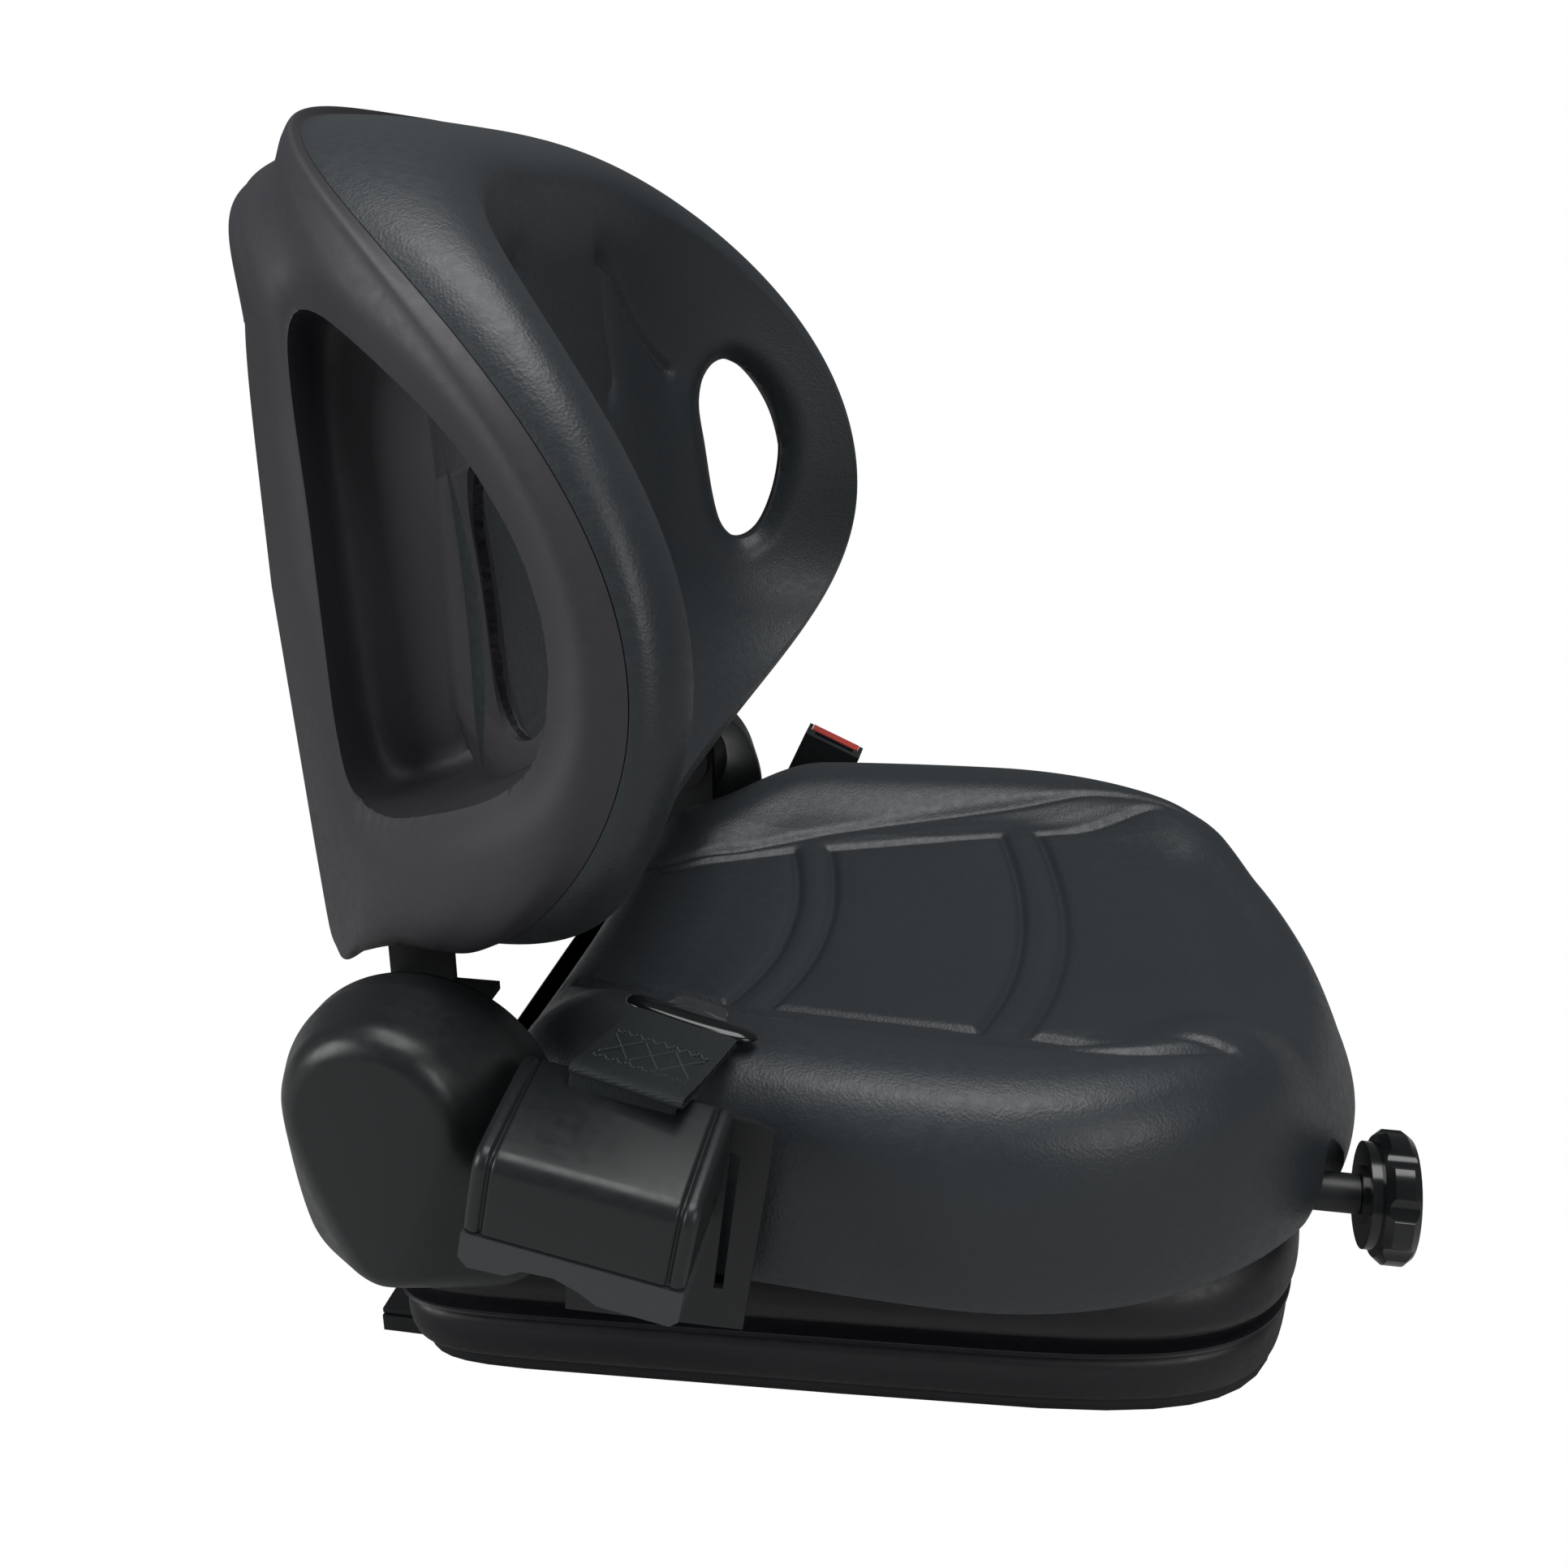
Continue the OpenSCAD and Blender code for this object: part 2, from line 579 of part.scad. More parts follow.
// Cushion pan with its side tabs
tab_y = 205;
belt_plate_y = 228;
module pan_outline() {
  intersection() {
    polygon([for (i = [0 : cushion_n - 1]) cushion_edge(i, 14, 14)]);
    translate([tail_x, -cushion_w / 2]) square([nose_x - tail_x, cushion_w]);
  }
}
module cushion_pan() {
  color(satin_black) on_slide() difference() {
    union() {
      translate([0, 0, susp_h]) linear_extrude(pan_t) pan_outline();
      translate([hinge_x - 22, -tab_y - plate_t, susp_h]) cube([60, 2 * (tab_y + plate_t), pan_t]);
      // Bearing block of the adjuster shaft
      translate([bearing_x, -knob_y - 12, susp_h]) cube([6 - gap, 24, knob_z - susp_h + 10]);
    }
    translate([spring_x - 30, -knob_y - 13, susp_h - 1]) cube([60, knob_y + spring_y + 24, pan_t + 2]);
    translate([bearing_x - 2, -knob_y, knob_z]) rotate([0, 90, 0]) cylinder(d = screw_d + 2 * fit, h = 12);
    translate([bearing_x + 6, -knob_y - 11, susp_h - 1]) cube([80, 22, pan_t + 2]);
  }
}
// Recliner plates, pins and covers
module fixed_plate(side) {
  color(steel) on_slide() difference() {
    union() {
      translate([hinge_x, 0, hinge_z]) rod_y(44, side > 0 ? tab_y : -tab_y - plate_t, plate_t);
      translate([hinge_x - 22, side > 0 ? tab_y : -tab_y - plate_t, susp_h + pan_t])
        cube([44, plate_t, hinge_z - susp_h - pan_t]);
    }
    translate([hinge_x, 0, hinge_z]) rod_y(hinge_d + 2 * fit, side > 0 ? tab_y - 1 : -tab_y - plate_t - 1, plate_t + 2);
  }
}
cover_y = 212;
pin_out = cover_y + 18;
disc_t = 7;
swing_y = tab_y - 1 - plate_t;
module recliner_pins() {
  color(zinc) on_slide() both_sides() translate([hinge_x, 0, hinge_z]) {
    rod_y(hinge_d, swing_y - 1, pin_out - swing_y - 6);
    rod_y(hinge_d + 5, swing_y - 4, 3);
  }
}
module recliner_disc() {
  color(gloss_black) on_slide() translate([hinge_x, 0, hinge_z]) difference() {
    rod_y(62, tab_y + plate_t, disc_t);
    rod_y(hinge_d + 2 * fit, tab_y, 3 * disc_t);
  }
}
// Domed side covers as stacked discs: distance behind the axis, height, radius and share of the depth
right_discs = [
  [-12, 172, 57, 0.16], [-21, 128, 45, 0.16], [14, 118, 32, 0.16], [-24, 131, 30, 0.55],
  [-13, 187, 40, 0.82], [-14, 123, 18, 0.82], [-13, 187, 34, 1], [-14, 123, 11, 1]
];
left_discs = [
  [-10, 160, 64, 0.16], [-25, 127, 50, 0.16], [12, 120, 34, 0.16], [-2, 172, 46, 0.8], [-14, 132, 24, 0.8],
  [-2, 172, 40, 1], [-14, 132, 18, 1]
];
left_share = 0.8;
module cover_blank(discs, depth, inset) {
  hull() for (c = discs) translate([hinge_x + c[0], cover_y, c[1]]) rotate([-90, 0, 0])
    cylinder(r = c[2] - inset, h = c[3] * depth - inset, $fn = fine_fn / 2 + 8);
}
module recliner_cover(side) {
  wall = 2.8;
  discs = side > 0 ? left_discs : right_discs;
  depth = side > 0 ? cover_d * left_share : cover_d;
  color(satin_black) on_slide() mirror([0, side < 0 ? 1 : 0, 0]) difference() {
    cover_blank(discs, depth, 0);
    difference() {
      translate([0, -eps, 0]) cover_blank(discs, depth, wall);
      translate([hinge_x, pin_out - 12, hinge_z]) rotate([-90, 0, 0]) cylinder(d = hinge_d + 8, h = cover_d);
    }
    translate([hinge_x, pin_out - 13, hinge_z]) rotate([-90, 0, 0]) cylinder(d = hinge_d + 2 * fit, h = 9);
    if (side > 0)
      translate([hinge_x, cover_y, hinge_z]) rotate([-90, 0, 0]) cylinder(d = lever_shaft + 2 * gap, h = cover_d + 2);
  }
}
// Recline lever on the left, on a shaft through the cover
lever_shaft = 10;
lever_out = cover_y + cover_d * left_share + 3;
recline_len = 76;
recline_angle = 92;
module recline_lever() {
  color(satin_black) on_slide() translate([hinge_x, 0, hinge_z]) {
    rod_y(lever_shaft, pin_out - 4, lever_out - pin_out + 4 + 4);
    rotate([0, recline_angle, 0]) translate([0, lever_out, -8]) cube([recline_len, 4, 16]);
    rod_y(22, lever_out, 4);
  }
}
module recline_lever_grip() {
  color(gloss_black) on_slide() translate([hinge_x, 0, hinge_z]) rotate([0, recline_angle, 0]) difference() {
    hull() for (x = [recline_len - 34, recline_len + 8]) translate([x, lever_out - 1.5, 0]) rotate([-90, 0, 0])
      cylinder(d = 24, h = 11, $fn = round_fn);
    translate([0, lever_out, -8]) cube([recline_len, 4, 16]);
  }
}

// Seam outline of the backrest: an egg that is widest near the hand holes
back_n = 52;
eye_z = 365;
seam_up = back_top - 3 - eye_z;
seam_down = 150;
function seam_yz(a, inset) =
  let (
    up = sin(a) >= 0,
    power = up ? 3.4 : 3,
    z = eye_z + ((up ? seam_up : seam_down) - inset) * sgnpow(sin(a), 2 / power),
    half = wing_w - inset - 0.09 * (z - eye_z)
  ) [half * sgnpow(cos(a), 2 / power), z];
widest_z = 362;
function arch(z, k_up, k_down) = (z > widest_z ? k_up : k_down) * pow(z - widest_z, 2);
function seam_x(z) = wing_x - arch(z, 0.0043, 0.0052);
function crest_x(z) = wing_x + 16 - arch(z, 0.0039, 0.0043);
// Height of the front face on the middle line, and how it sweeps forward into the wings
function middle_x(z) = -152 - 0.06 * (z - 300) - 35 * pow(max(0, (z - 500) / 60), 2);
crest_inset = 28;
function pad_ring(r) = [for (i = [0 : back_n - 1])
  let (q = seam_yz(360 * i / back_n, crest_inset), y = q[0] * r, z = eye_z + (q[1] - eye_z) * r)
    [middle_x(z) + (crest_x(q[1]) - middle_x(q[1])) * pow(r, 6.5), y, z]];
// Section of the wing's edge, from the crest over the roll to the seam: share of the way out and back
function roll_ring(out, back, bulge) = [for (i = [0 : back_n - 1])
  let (
    a = 360 * i / back_n,
    q = seam_yz(a, crest_inset * (1 - out) - bulge),
    c = seam_yz(a, crest_inset),
    s = seam_yz(a, 0)
  ) [blend(crest_x(c[1]), seam_x(s[1]), back), q[0], q[1]]];
// Ring of the padding's rear face, a pad's thickness behind the front face
function rear_ring(r, t) = [for (p = pad_ring(r)) [p[0] - t, p[1], p[2]]];
module hand_hole(flare, reach) {
  // Slices of the hole, turned square to the wing and wider at its mouths
  both_sides() translate([-110, 190, eye_z + 20]) rotate([0, 0, -54]) for (k = [0 : 4]) {
    grow = [flare, flare * 0.3, 0, 0, flare * 0.3][k];
    x = [reach, reach * 0.45, 6, -14, -30][k];
    x_next = [reach * 0.45, 6, -14, -30, -60][k];
    hull() for (p = [[-hole_w / 2 + 8, -hole_h / 2 + 30], [-hole_w / 2 + 4, hole_h / 2 - 16],
        [2, -hole_h / 2 + 12], [4, hole_h / 2 - 8], [hole_w / 2 - 8, 10], [hole_w / 2 - 10, -24]])
      translate([x_next, p[0], p[1]]) rotate([0, 90, 0]) cylinder(r = 9 + grow, h = x - x_next + eps, $fn = 14);
  }
}
module backrest_pad() {
  rings = [
    for (r = [0.25, 0.5, 0.66, 0.78, 0.87, 0.94, 1]) pad_ring(r),
    roll_ring(0.38, 0.03, 0), roll_ring(0.72, 0.2, 0), roll_ring(0.93, 0.52, 1),
    roll_ring(1, 0.98, 0),
    rear_ring(1, pad_t + 8), rear_ring(0.96, pad_t + 3), rear_ring(0.9, pad_t), rear_ring(0.7, pad_t),
    rear_ring(0.4, pad_t)
  ];
  color(vinyl) on_slide() difference() {
    capped_rings([middle_x(eye_z), 0, eye_z], rings, [middle_x(eye_z) - pad_t, 0, eye_z]);
    hand_hole(5, 40);
  }
}

// Back shell: a shallow box with a rolled rim, a pocket in each side and the hand holes
rim_gap = 0.5;
skin_gap = 2.4;
box_foot = 203;
box_head = 521;
header_out = 16;
function box_yz(a, inset) =
  let (mid = (box_foot + box_head) / 2, half = (box_head - box_foot) / 2)
    [(box_w - inset) * sgnpow(cos(a), box_power(a)), mid + (half - inset) * sgnpow(sin(a), box_power(a))];
function box_power(a) = sin(a) < 0 ? 0.07 : 0.3;
function box_back(z) = box_x + 9 * clamp((eye_z - z) / 150, 0, 1);
// A ring of the outer face between the seam and the box: shares of the way inwards and back
function shell_ring(side_in, top_in, back, swell, inset, round_in = 0) = [for (i = [0 : back_n - 1])
  let (
    a = 360 * i / back_n,
    up = pow(clamp(sin(a), 0, 1), 2),
    share = blend(side_in, top_in, up),
    s = seam_yz(a, inset - swell * (1 - share)),
    b = box_yz(a, inset + round_in),
    sx = seam_x(seam_yz(a, 0)[1]) - rim_gap,
    deep = box_back(b[1]) - header_out * up * (share > 0.9 ? 0.3 : share > 0.3 ? 1 : share)
  ) [blend(sx, deep, back) + inset * 0.9 * back, blend(s[0], b[0], share), blend(s[1], b[1], share)]];
module shell_blank(inset) {
  front = [
    for (r = [0.4, 0.7, 0.9]) rear_ring(r, pad_t + skin_gap - 3 * inset),
    rear_ring(0.96, pad_t + 3 + skin_gap - 3 * inset),
    rear_ring(1, pad_t + 8 + skin_gap - 3 * inset)
  ];
  capped_rings(
    [middle_x(eye_z) - pad_t - skin_gap + 3 * inset, 0, eye_z],
    concat(front, [
      shell_ring(0, 0, inset > 0 ? -0.2 : 0, 0, inset),
      shell_ring(0.02, 0.02, 0.1, 4, inset),
      shell_ring(0.12, 0.1, 0.28, 4, inset),
      shell_ring(0.3, 0.3, 0.5, 0, inset),
      shell_ring(0.6, 0.5, 0.75, 0, inset),
      shell_ring(0.92, 0.8, 0.93, 0, inset),
      shell_ring(1, 1, 1, 0, inset, 5)
    ]),
    [box_back(eye_z) + inset, 0, eye_z]
  );
}
// Everything behind the wings, less the skin that carries the padding
module behind_wings(skin) {
  far = -420;
  capped_rings(
    [middle_x(eye_z) - pad_t - skin_gap - skin, 0, eye_z],
    [
      for (r = [0.4, 0.7, 0.9]) rear_ring(r, pad_t + skin_gap + skin),
      rear_ring(0.96, pad_t + 3 + skin_gap + skin),
      rear_ring(1, pad_t + 8 + skin_gap + skin),
      [for (p = rear_ring(1.5, 0)) [wing_x - pad_t - skin, p[1], p[2]]],
      [for (p = rear_ring(1.5, 0)) [far, p[1], p[2]]]
    ],
    [far, 0, eye_z]
  );
}
// Side pocket: circles of its outline at the box and at its mouth, as [along, height, radius]
pocket_floor = [[-190, 436, 17], [-188, 318, 19], [-142, 420, 24], [-134, 348, 30]];
pocket_mouth = [[-196, 478, 14], [-186, 314, 18], [-142, 425, 28], [-130, 372, 33], [-136, 342, 32]];
module pocket_prism(grow) {
  both_sides() hull() {
    for (c = pocket_floor) translate([c[0], box_w - grow, c[1]]) rotate([-90, 0, 0])
      cylinder(r = c[2] + grow, h = 2, $fn = round_fn);
    for (c = pocket_mouth) translate([c[0], box_w + 80, c[1]]) rotate([-90, 0, 0])
      cylinder(r = c[2] + grow, h = 40, $fn = round_fn);
  }
}
upright_y = 152;
upright_x = -208;
upright_w = 30;
module back_shell() {
  color(shell_colour) on_slide() difference() {
    shell_blank(0);
    intersection() {
      pocket_prism(0);
      behind_wings(shell_t);
    }
    difference() {
      shell_blank(shell_t);
      pocket_prism(shell_t);
    }
    hand_hole(0, 30);
    // Slots in the foot for the frame's uprights
    both_sides() translate([upright_x - 6, upright_y - 4, box_foot - 4]) cube([upright_w + 60, plate_t + 8, 30]);
    for (z = screw_rows) both_sides() translate([box_x - 30, screw_y, z]) rotate([0, 90, 0]) cylinder(d = 6, h = 60, $fn = 16);
  }
}
// Document pocket on the back, open at its top
pocket_top = box_head - 38;
pocket_low = pocket_top - 83;
pocket_half = 115;
module pocket_wedge(inset, top) {
  depth = 21;
  hull() {
    translate([box_x - depth + inset, -pocket_half + inset, top - 4]) cube([depth - 2 - 2 * inset, 2 * (pocket_half - inset), 4]);
    translate([box_x - 5 + inset, -pocket_half + 14 + inset, pocket_low + inset])
      cube([3 - inset, 2 * (pocket_half - 14 - inset), 4]);
  }
}
module document_pocket() {
  color(satin_black) on_slide() translate([-2.2, 0, 0]) difference() {
    pocket_wedge(0, pocket_top);
    pocket_wedge(2.5, pocket_top + eps);
  }
}
screw_rows = [262, 392];
screw_y = 100;
bar_x = -196;
boss_gap = 1.2;
module backrest_frame() {
  color(steel) on_slide() {
    both_sides() {
      difference() {
        union() {
          translate([hinge_x, 0, hinge_z]) rod_y(40, swing_y, plate_t);
          translate([hinge_x - 20, swing_y, hinge_z]) cube([40, plate_t, 17]);
          translate([upright_x, upright_y, hinge_z + 13]) cube([hinge_x + 4 - upright_x, swing_y + plate_t - upright_y, plate_t]);
          translate([upright_x, upright_y, hinge_z + 13]) cube([upright_w, plate_t, box_head - 60 - hinge_z - 13]);
        }
        translate([hinge_x, 0, hinge_z]) rod_y(hinge_d + 2 * fit, swing_y - 1, plate_t + 2);
      }
    }
    for (z = screw_rows) translate([0, 0, z]) difference() {
      union() {
        translate([bar_x, -upright_y - 1, -14]) cube([3, 2 * upright_y + 2, 28]);
        for (s = [-1, 1]) translate([box_back(z) + shell_t + boss_gap, s * screw_y, 0]) rotate([0, 90, 0])
          cylinder(d = 14, h = bar_x - box_back(z) - shell_t - boss_gap + eps);
      }
      for (s = [-1, 1]) translate([box_x, s * screw_y, 0]) rotate([0, 90, 0]) cylinder(d = 4.5, h = 60);
    }
  }
}
module shell_screws() {
  color(zinc) on_slide() for (z = screw_rows) both_sides() translate([box_back(z) - gap, screw_y, z]) rotate([0, 90, 0]) {
    translate([0, 0, -3 - gap]) cylinder(d1 = 9, d2 = 12, h = 3);
    translate([0, 0, -1]) cylinder(d = 4.5 - 2 * fit, h = 30);
  }
}

// Belt retractor in its own tilted frame: its origin is the middle of the roof's front edge
retractor_at = [-76.5, -290, 195];
roof_rise = 11;
face_h = 36;
skirt_h = 16;
cover_wall = 2.4;
module at_retractor() { on_slide() translate(retractor_at) rotate([0, retractor_tilt, 0]) children(); }
// Profile of the housing in Y and Z, drawn in by inset
module housing_profile(inset) {
  hull() {
    translate([9, -9]) circle(r = 9 - inset);
    translate([retractor_d - 4, roof_rise - 5]) circle(r = 4 - inset / 2);
    translate([inset, -face_h]) square([retractor_d - 2 * inset, 2]);
  }
}
slot_y = 43;
spool_y = 26;
spool_z = -22;
spool_r = 18;
reel_len = web_w + 2;
module retractor_cover() {
  color(satin_black) at_retractor() difference() {
    along_x(-retractor_len / 2, retractor_len) housing_profile(0);
    translate([0, 0, -eps]) along_x(-retractor_len / 2 + cover_wall, retractor_len - 2 * cover_wall) housing_profile(cover_wall);
    translate([-retractor_len, -1, -face_h - 1]) cube([2 * retractor_len, retractor_d + 2, 2]);
    // Grooves round the end caps
    for (s = [-1, 1]) translate([s * (retractor_len / 2 - 7), 0, 0]) along_x(-0.6, 1.2) difference() {
      translate([-5, -face_h - 5]) square([retractor_d + 10, face_h + roof_rise + 10]);
      housing_profile(0.8);
    }
    // Slot for the webbing, and the open back over the reel's frame
    translate([-web_w / 2 - 3, slot_y - 3, 0]) cube([web_w + 6, 6, 30]);
    translate([-reel_len / 2 - 6, retractor_d - 4, -face_h - 1]) cube([reel_len + 12, 8, face_h - 4]);
  }
}
module retractor_skirt() {
  color(skirt_grey) at_retractor() difference() {
    translate([0, 0, -face_h - gap]) rotate([-90, 0, 0]) linear_extrude(retractor_d - 4) polygon([
      [-retractor_len / 2, 0], [retractor_len / 2, 0], [retractor_len / 2, skirt_h - 3], [retractor_len / 2 - 3, skirt_h],
      [12, skirt_h], [4, skirt_h - 4], [-6, skirt_h - 7], [-18, skirt_h - 6], [-24, skirt_h - 2],
      [-retractor_len / 2 + 4, skirt_h - 1], [-retractor_len / 2, skirt_h - 5]
    ]);
    translate([-retractor_len / 2 + cover_wall, cover_wall, -face_h - skirt_h - 30])
      cube([retractor_len - 2 * cover_wall, retractor_d, skirt_h + 60]);
  }
}
module retractor_spool() {
  color(webbing_colour) at_retractor() translate([0, spool_y, spool_z]) rotate([0, 90, 0]) {
    cylinder(r = spool_r, h = reel_len - 2, center = true);
    cylinder(r = 4, h = reel_len + 12, center = true);
  }
}
module retractor_frame() {
  color(zinc) at_retractor() difference() {
    union() {
      translate([-reel_len / 2 - 4, retractor_d - 1, -face_h - 12]) cube([reel_len + 8, 3.8, face_h + 6]);
      for (s = [0, 1]) mirror([s, 0, 0]) translate([reel_len / 2 + 1.5, spool_y - 10, spool_z - 12])
        cube([2.5, retractor_d - spool_y + 11, 24]);
    }
    translate([0, spool_y, spool_z]) rotate([0, 90, 0]) cylinder(r = 4 + fit, h = retractor_len, center = true);
  }
}
// Feet of the belt's brackets run under the edge of the pan
foot_low = susp_h - 3 - gap;
foot_y = 181;
module retractor_bracket() {
  plate_in = belt_plate_y + 3;
  color(satin_black) on_slide() {
    translate([0, -plate_in, 0]) along_y(0, 3) difference() {
      polygon([[-108, foot_low], [-32, foot_low], [-18, 184], [-26, 188], [-100, 200]]);
      polygon([[-44, 108], [-40, 108], [-32, 172], [-36, 174]]);
    }
    translate([-100, 1 - plate_in, foot_low]) cube([60, plate_in - foot_y - 1, 3]);
  }
}
// Webbing from the slot, folded at its hem and laid back to the tongue on the bolster
hem_d = 8.5;
strap_t = 2.4;
strap_low = -1.7;
strap_len = 70;
strap_at = [-72, -247, 209.4];
module at_strap() { on_slide() translate(strap_at) rotate([-7, 9.5, -8]) children(); }
module belt_webbing() {
  color(webbing_colour) {
    at_strap() {
      translate([-web_w / 2, 0, strap_low]) cube([web_w, strap_len - 8, hem_d / 2 - strap_low - 0.5]);
      translate([-web_w / 2, 0, 0]) rotate([0, 90, 0]) cylinder(d = hem_d, h = web_w);
    }
    at_retractor() translate([-web_w / 2 + 2, slot_y - strap_t / 2, -8]) cube([web_w - 4, strap_t, 26]);
  }
}
// Tongue: a bar inside the webbing's loop with shoulders at both sides, and its blade
tongue_w = 60;
tongue_t = 3;
module belt_tongue() {
  color(zinc) at_strap() translate([0, strap_len - 8 + gap, strap_low]) {
    translate([-tongue_w / 2, 0, 0]) cube([tongue_w, 12, tongue_t + 3]);
    translate([-12, 11, 0]) cube([24, 22, tongue_t]);
  }
}

// Buckle on its stalk at the left of the pan
buckle_y = 236;
stalk_z = 108;
stalk_x = -98;
module at_buckle() { on_slide() translate([stalk_x, buckle_y, stalk_z]) rotate([0, buckle_tilt, 0]) children(); }
body_low = 42;
body_high = 86;
body_t = 22;
module buckle_stalk() {
  color(satin_black) at_buckle() difference() {
    union() {
      rod_y(24, 0, 3);
      translate([-9, 0, 0]) cube([18, 3, body_low + 12]);
    }
    rod_y(10 + 2 * fit, -1, 5);
  }
}
module buckle_pivot() {
  color(zinc) on_slide() {
    translate([stalk_x, 0, stalk_z]) {
      rod_y(10, buckle_y - 4, 8);
      rod_y(18, buckle_y + 3 + gap, 4);
    }
    difference() {
      translate([stalk_x - 14, buckle_y - 3.3, foot_low]) cube([28, 3, stalk_z - foot_low + 12]);
      translate([stalk_x, 0, stalk_z]) rod_y(10, 0, 2 * buckle_y);
    }
    translate([stalk_x - 14, foot_y, foot_low]) cube([28, buckle_y - foot_y - 1, 3]);
  }
}
button_t = 10;
button_w = buckle_w - 6;
module buckle_body() {
  color(satin_black) at_buckle() difference() {
    translate([0, -4, 0]) hull() {
      translate([-buckle_w / 2 + 4, 4, body_low + 4]) rotate([-90, 0, 0]) cylinder(r = 4, h = body_t - 8, $fn = round_fn);
      translate([buckle_w / 2 - 4, 4, body_low + 4]) rotate([-90, 0, 0]) cylinder(r = 4, h = body_t - 8, $fn = round_fn);
      translate([-buckle_w / 2, 0, body_low + 16]) cube([buckle_w, body_t, body_high - body_low - 16]);
    }
    // Mouth for the tongue, and the button's well
    translate([-14, 1.5, body_high - 26]) cube([28, 5, 30]);
    translate([-button_w / 2 - gap, 8 - gap, body_high - 12]) cube([button_w + 2 * gap, button_t + 2 * gap, 20]);
    translate([-9 - gap, -gap, body_low - 1]) cube([18 + 2 * gap, 3 + 2 * gap, 14]);
  }
}
module buckle_button() {
  color(button_red) at_buckle() translate([-button_w / 2, 8, body_high - 6]) cube([button_w, button_t, 6.3]);
}

lower_rail(-1);  // lower_rail_right
lower_rail(1);  // lower_rail_left
upper_rail(-1);  // upper_rail_right
upper_rail(1);  // upper_rail_left
suspension_base();
pivot_pins(low_z, outer_arm_y - 1, outer_arm_y + arm_t + ear_gap + ear_t);  // lower_pivot_pins
slide_lever();
slide_lever_grip();
lever_pivot();
outer_scissor_arms();
arm_glides(high_z);  // outer_arm_glides
centre_bolts();
inner_scissor_arms();
arm_glides(low_z);  // inner_arm_glides
suspension_top_frame();
pivot_pins(high_z, inner_arm_y - ear_gap - ear_t, inner_arm_y + arm_t + 0.5);  // upper_pivot_pins
spring(-1);  // suspension_spring_right
spring(1);  // suspension_spring_left
damper_tube();
damper_rod();
suspension_bellows();
adjuster_screw();
adjuster_knob();
wedge_carriage();
preload_plate();
cushion_pan();
seat_cushion();
fixed_plate(-1);  // recliner_plate_right
fixed_plate(1);  // recliner_plate_left
recliner_cover(-1);  // recliner_cover_right
recliner_cover(1);  // recliner_cover_left
recliner_pins();
recliner_disc();
recline_lever();
recline_lever_grip();
backrest_frame();
backrest_pad();
back_shell();
document_pocket();
shell_screws();
retractor_bracket();
retractor_frame();
retractor_spool();
retractor_cover();
retractor_skirt();
belt_webbing();
belt_tongue();
buckle_stalk();
buckle_body();
buckle_button();
buckle_pivot();
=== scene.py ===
# %% [markdown]
# Forklift seat: the soft, moulded and woven pieces are built here as formula surfaces around the
# packed mechanism, then every piece gets the finish of its real material.
# All shapes are worked out in millimetres, in the seat's own frame: X forward, Y to the sitter's
# left, Z up, with zero at the underside of the suspension's floor plate.

# %% Load the frame
import json
import math
import bpy
import numpy as np
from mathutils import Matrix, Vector


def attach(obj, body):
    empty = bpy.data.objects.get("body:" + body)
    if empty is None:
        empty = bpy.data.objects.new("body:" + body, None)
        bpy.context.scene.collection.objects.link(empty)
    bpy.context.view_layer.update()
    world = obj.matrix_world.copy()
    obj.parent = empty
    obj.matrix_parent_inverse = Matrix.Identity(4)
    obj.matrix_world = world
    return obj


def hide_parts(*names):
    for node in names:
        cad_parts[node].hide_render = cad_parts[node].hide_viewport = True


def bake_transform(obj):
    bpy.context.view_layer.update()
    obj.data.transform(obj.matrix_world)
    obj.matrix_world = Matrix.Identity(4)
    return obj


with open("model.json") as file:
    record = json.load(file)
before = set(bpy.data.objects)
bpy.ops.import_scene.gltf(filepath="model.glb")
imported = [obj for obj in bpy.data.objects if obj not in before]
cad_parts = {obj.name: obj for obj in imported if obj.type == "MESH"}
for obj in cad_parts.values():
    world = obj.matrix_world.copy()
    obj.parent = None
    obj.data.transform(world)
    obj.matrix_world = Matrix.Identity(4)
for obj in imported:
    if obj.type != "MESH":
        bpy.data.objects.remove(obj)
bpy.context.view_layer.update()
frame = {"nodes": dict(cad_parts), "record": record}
# The seat's own origin, in millimetres from the frame's
SEAT_X, SEAT_Z = 107.0, 12.5

# %% [markdown]
# Helpers: smooth steps, signed powers, smooth curves through control points, and closed meshes
# made of rings of points.

# %% Curve and mesh helpers
def power(x, p):
    """sign(x) times |x| to the power p"""
    return np.sign(x) * np.abs(x) ** p

def mix(a, b, t):
    """a + (b - a) t"""
    return a + (b - a) * t

def ease(a, b, x):
    """3t^2 - 2t^3 with t = (x - a) / (b - a), held between 0 and 1"""
    t = np.clip((x - a) / (b - a), 0, 1)
    return t * t * (3 - 2 * t)

def hermite(knots, values, at):
    """cubic through values at knots, with the slope at each knot the mean of its two chords"""
    knots, values, at = np.asarray(knots, float), np.asarray(values, float), np.asarray(at, float)
    chord = np.diff(values, axis=0) / np.diff(knots).reshape((-1,) + (1,) * (values.ndim - 1))
    slope = np.concatenate([chord[:1], (chord[1:] + chord[:-1]) / 2, chord[-1:]])
    i = np.clip(np.searchsorted(knots, at, side="right") - 1, 0, len(knots) - 2)
    h = knots[i + 1] - knots[i]
    shape = (-1,) + (1,) * (values.ndim - 1)
    t, h = ((at - knots[i]) / h).reshape(shape), h.reshape(shape)
    return ((2 * t**3 - 3 * t**2 + 1) * values[i] + (t**3 - 2 * t**2 + t) * h * slope[i]
            + (3 * t**2 - 2 * t**3) * values[i + 1] + (t**3 - t**2) * h * slope[i + 1])

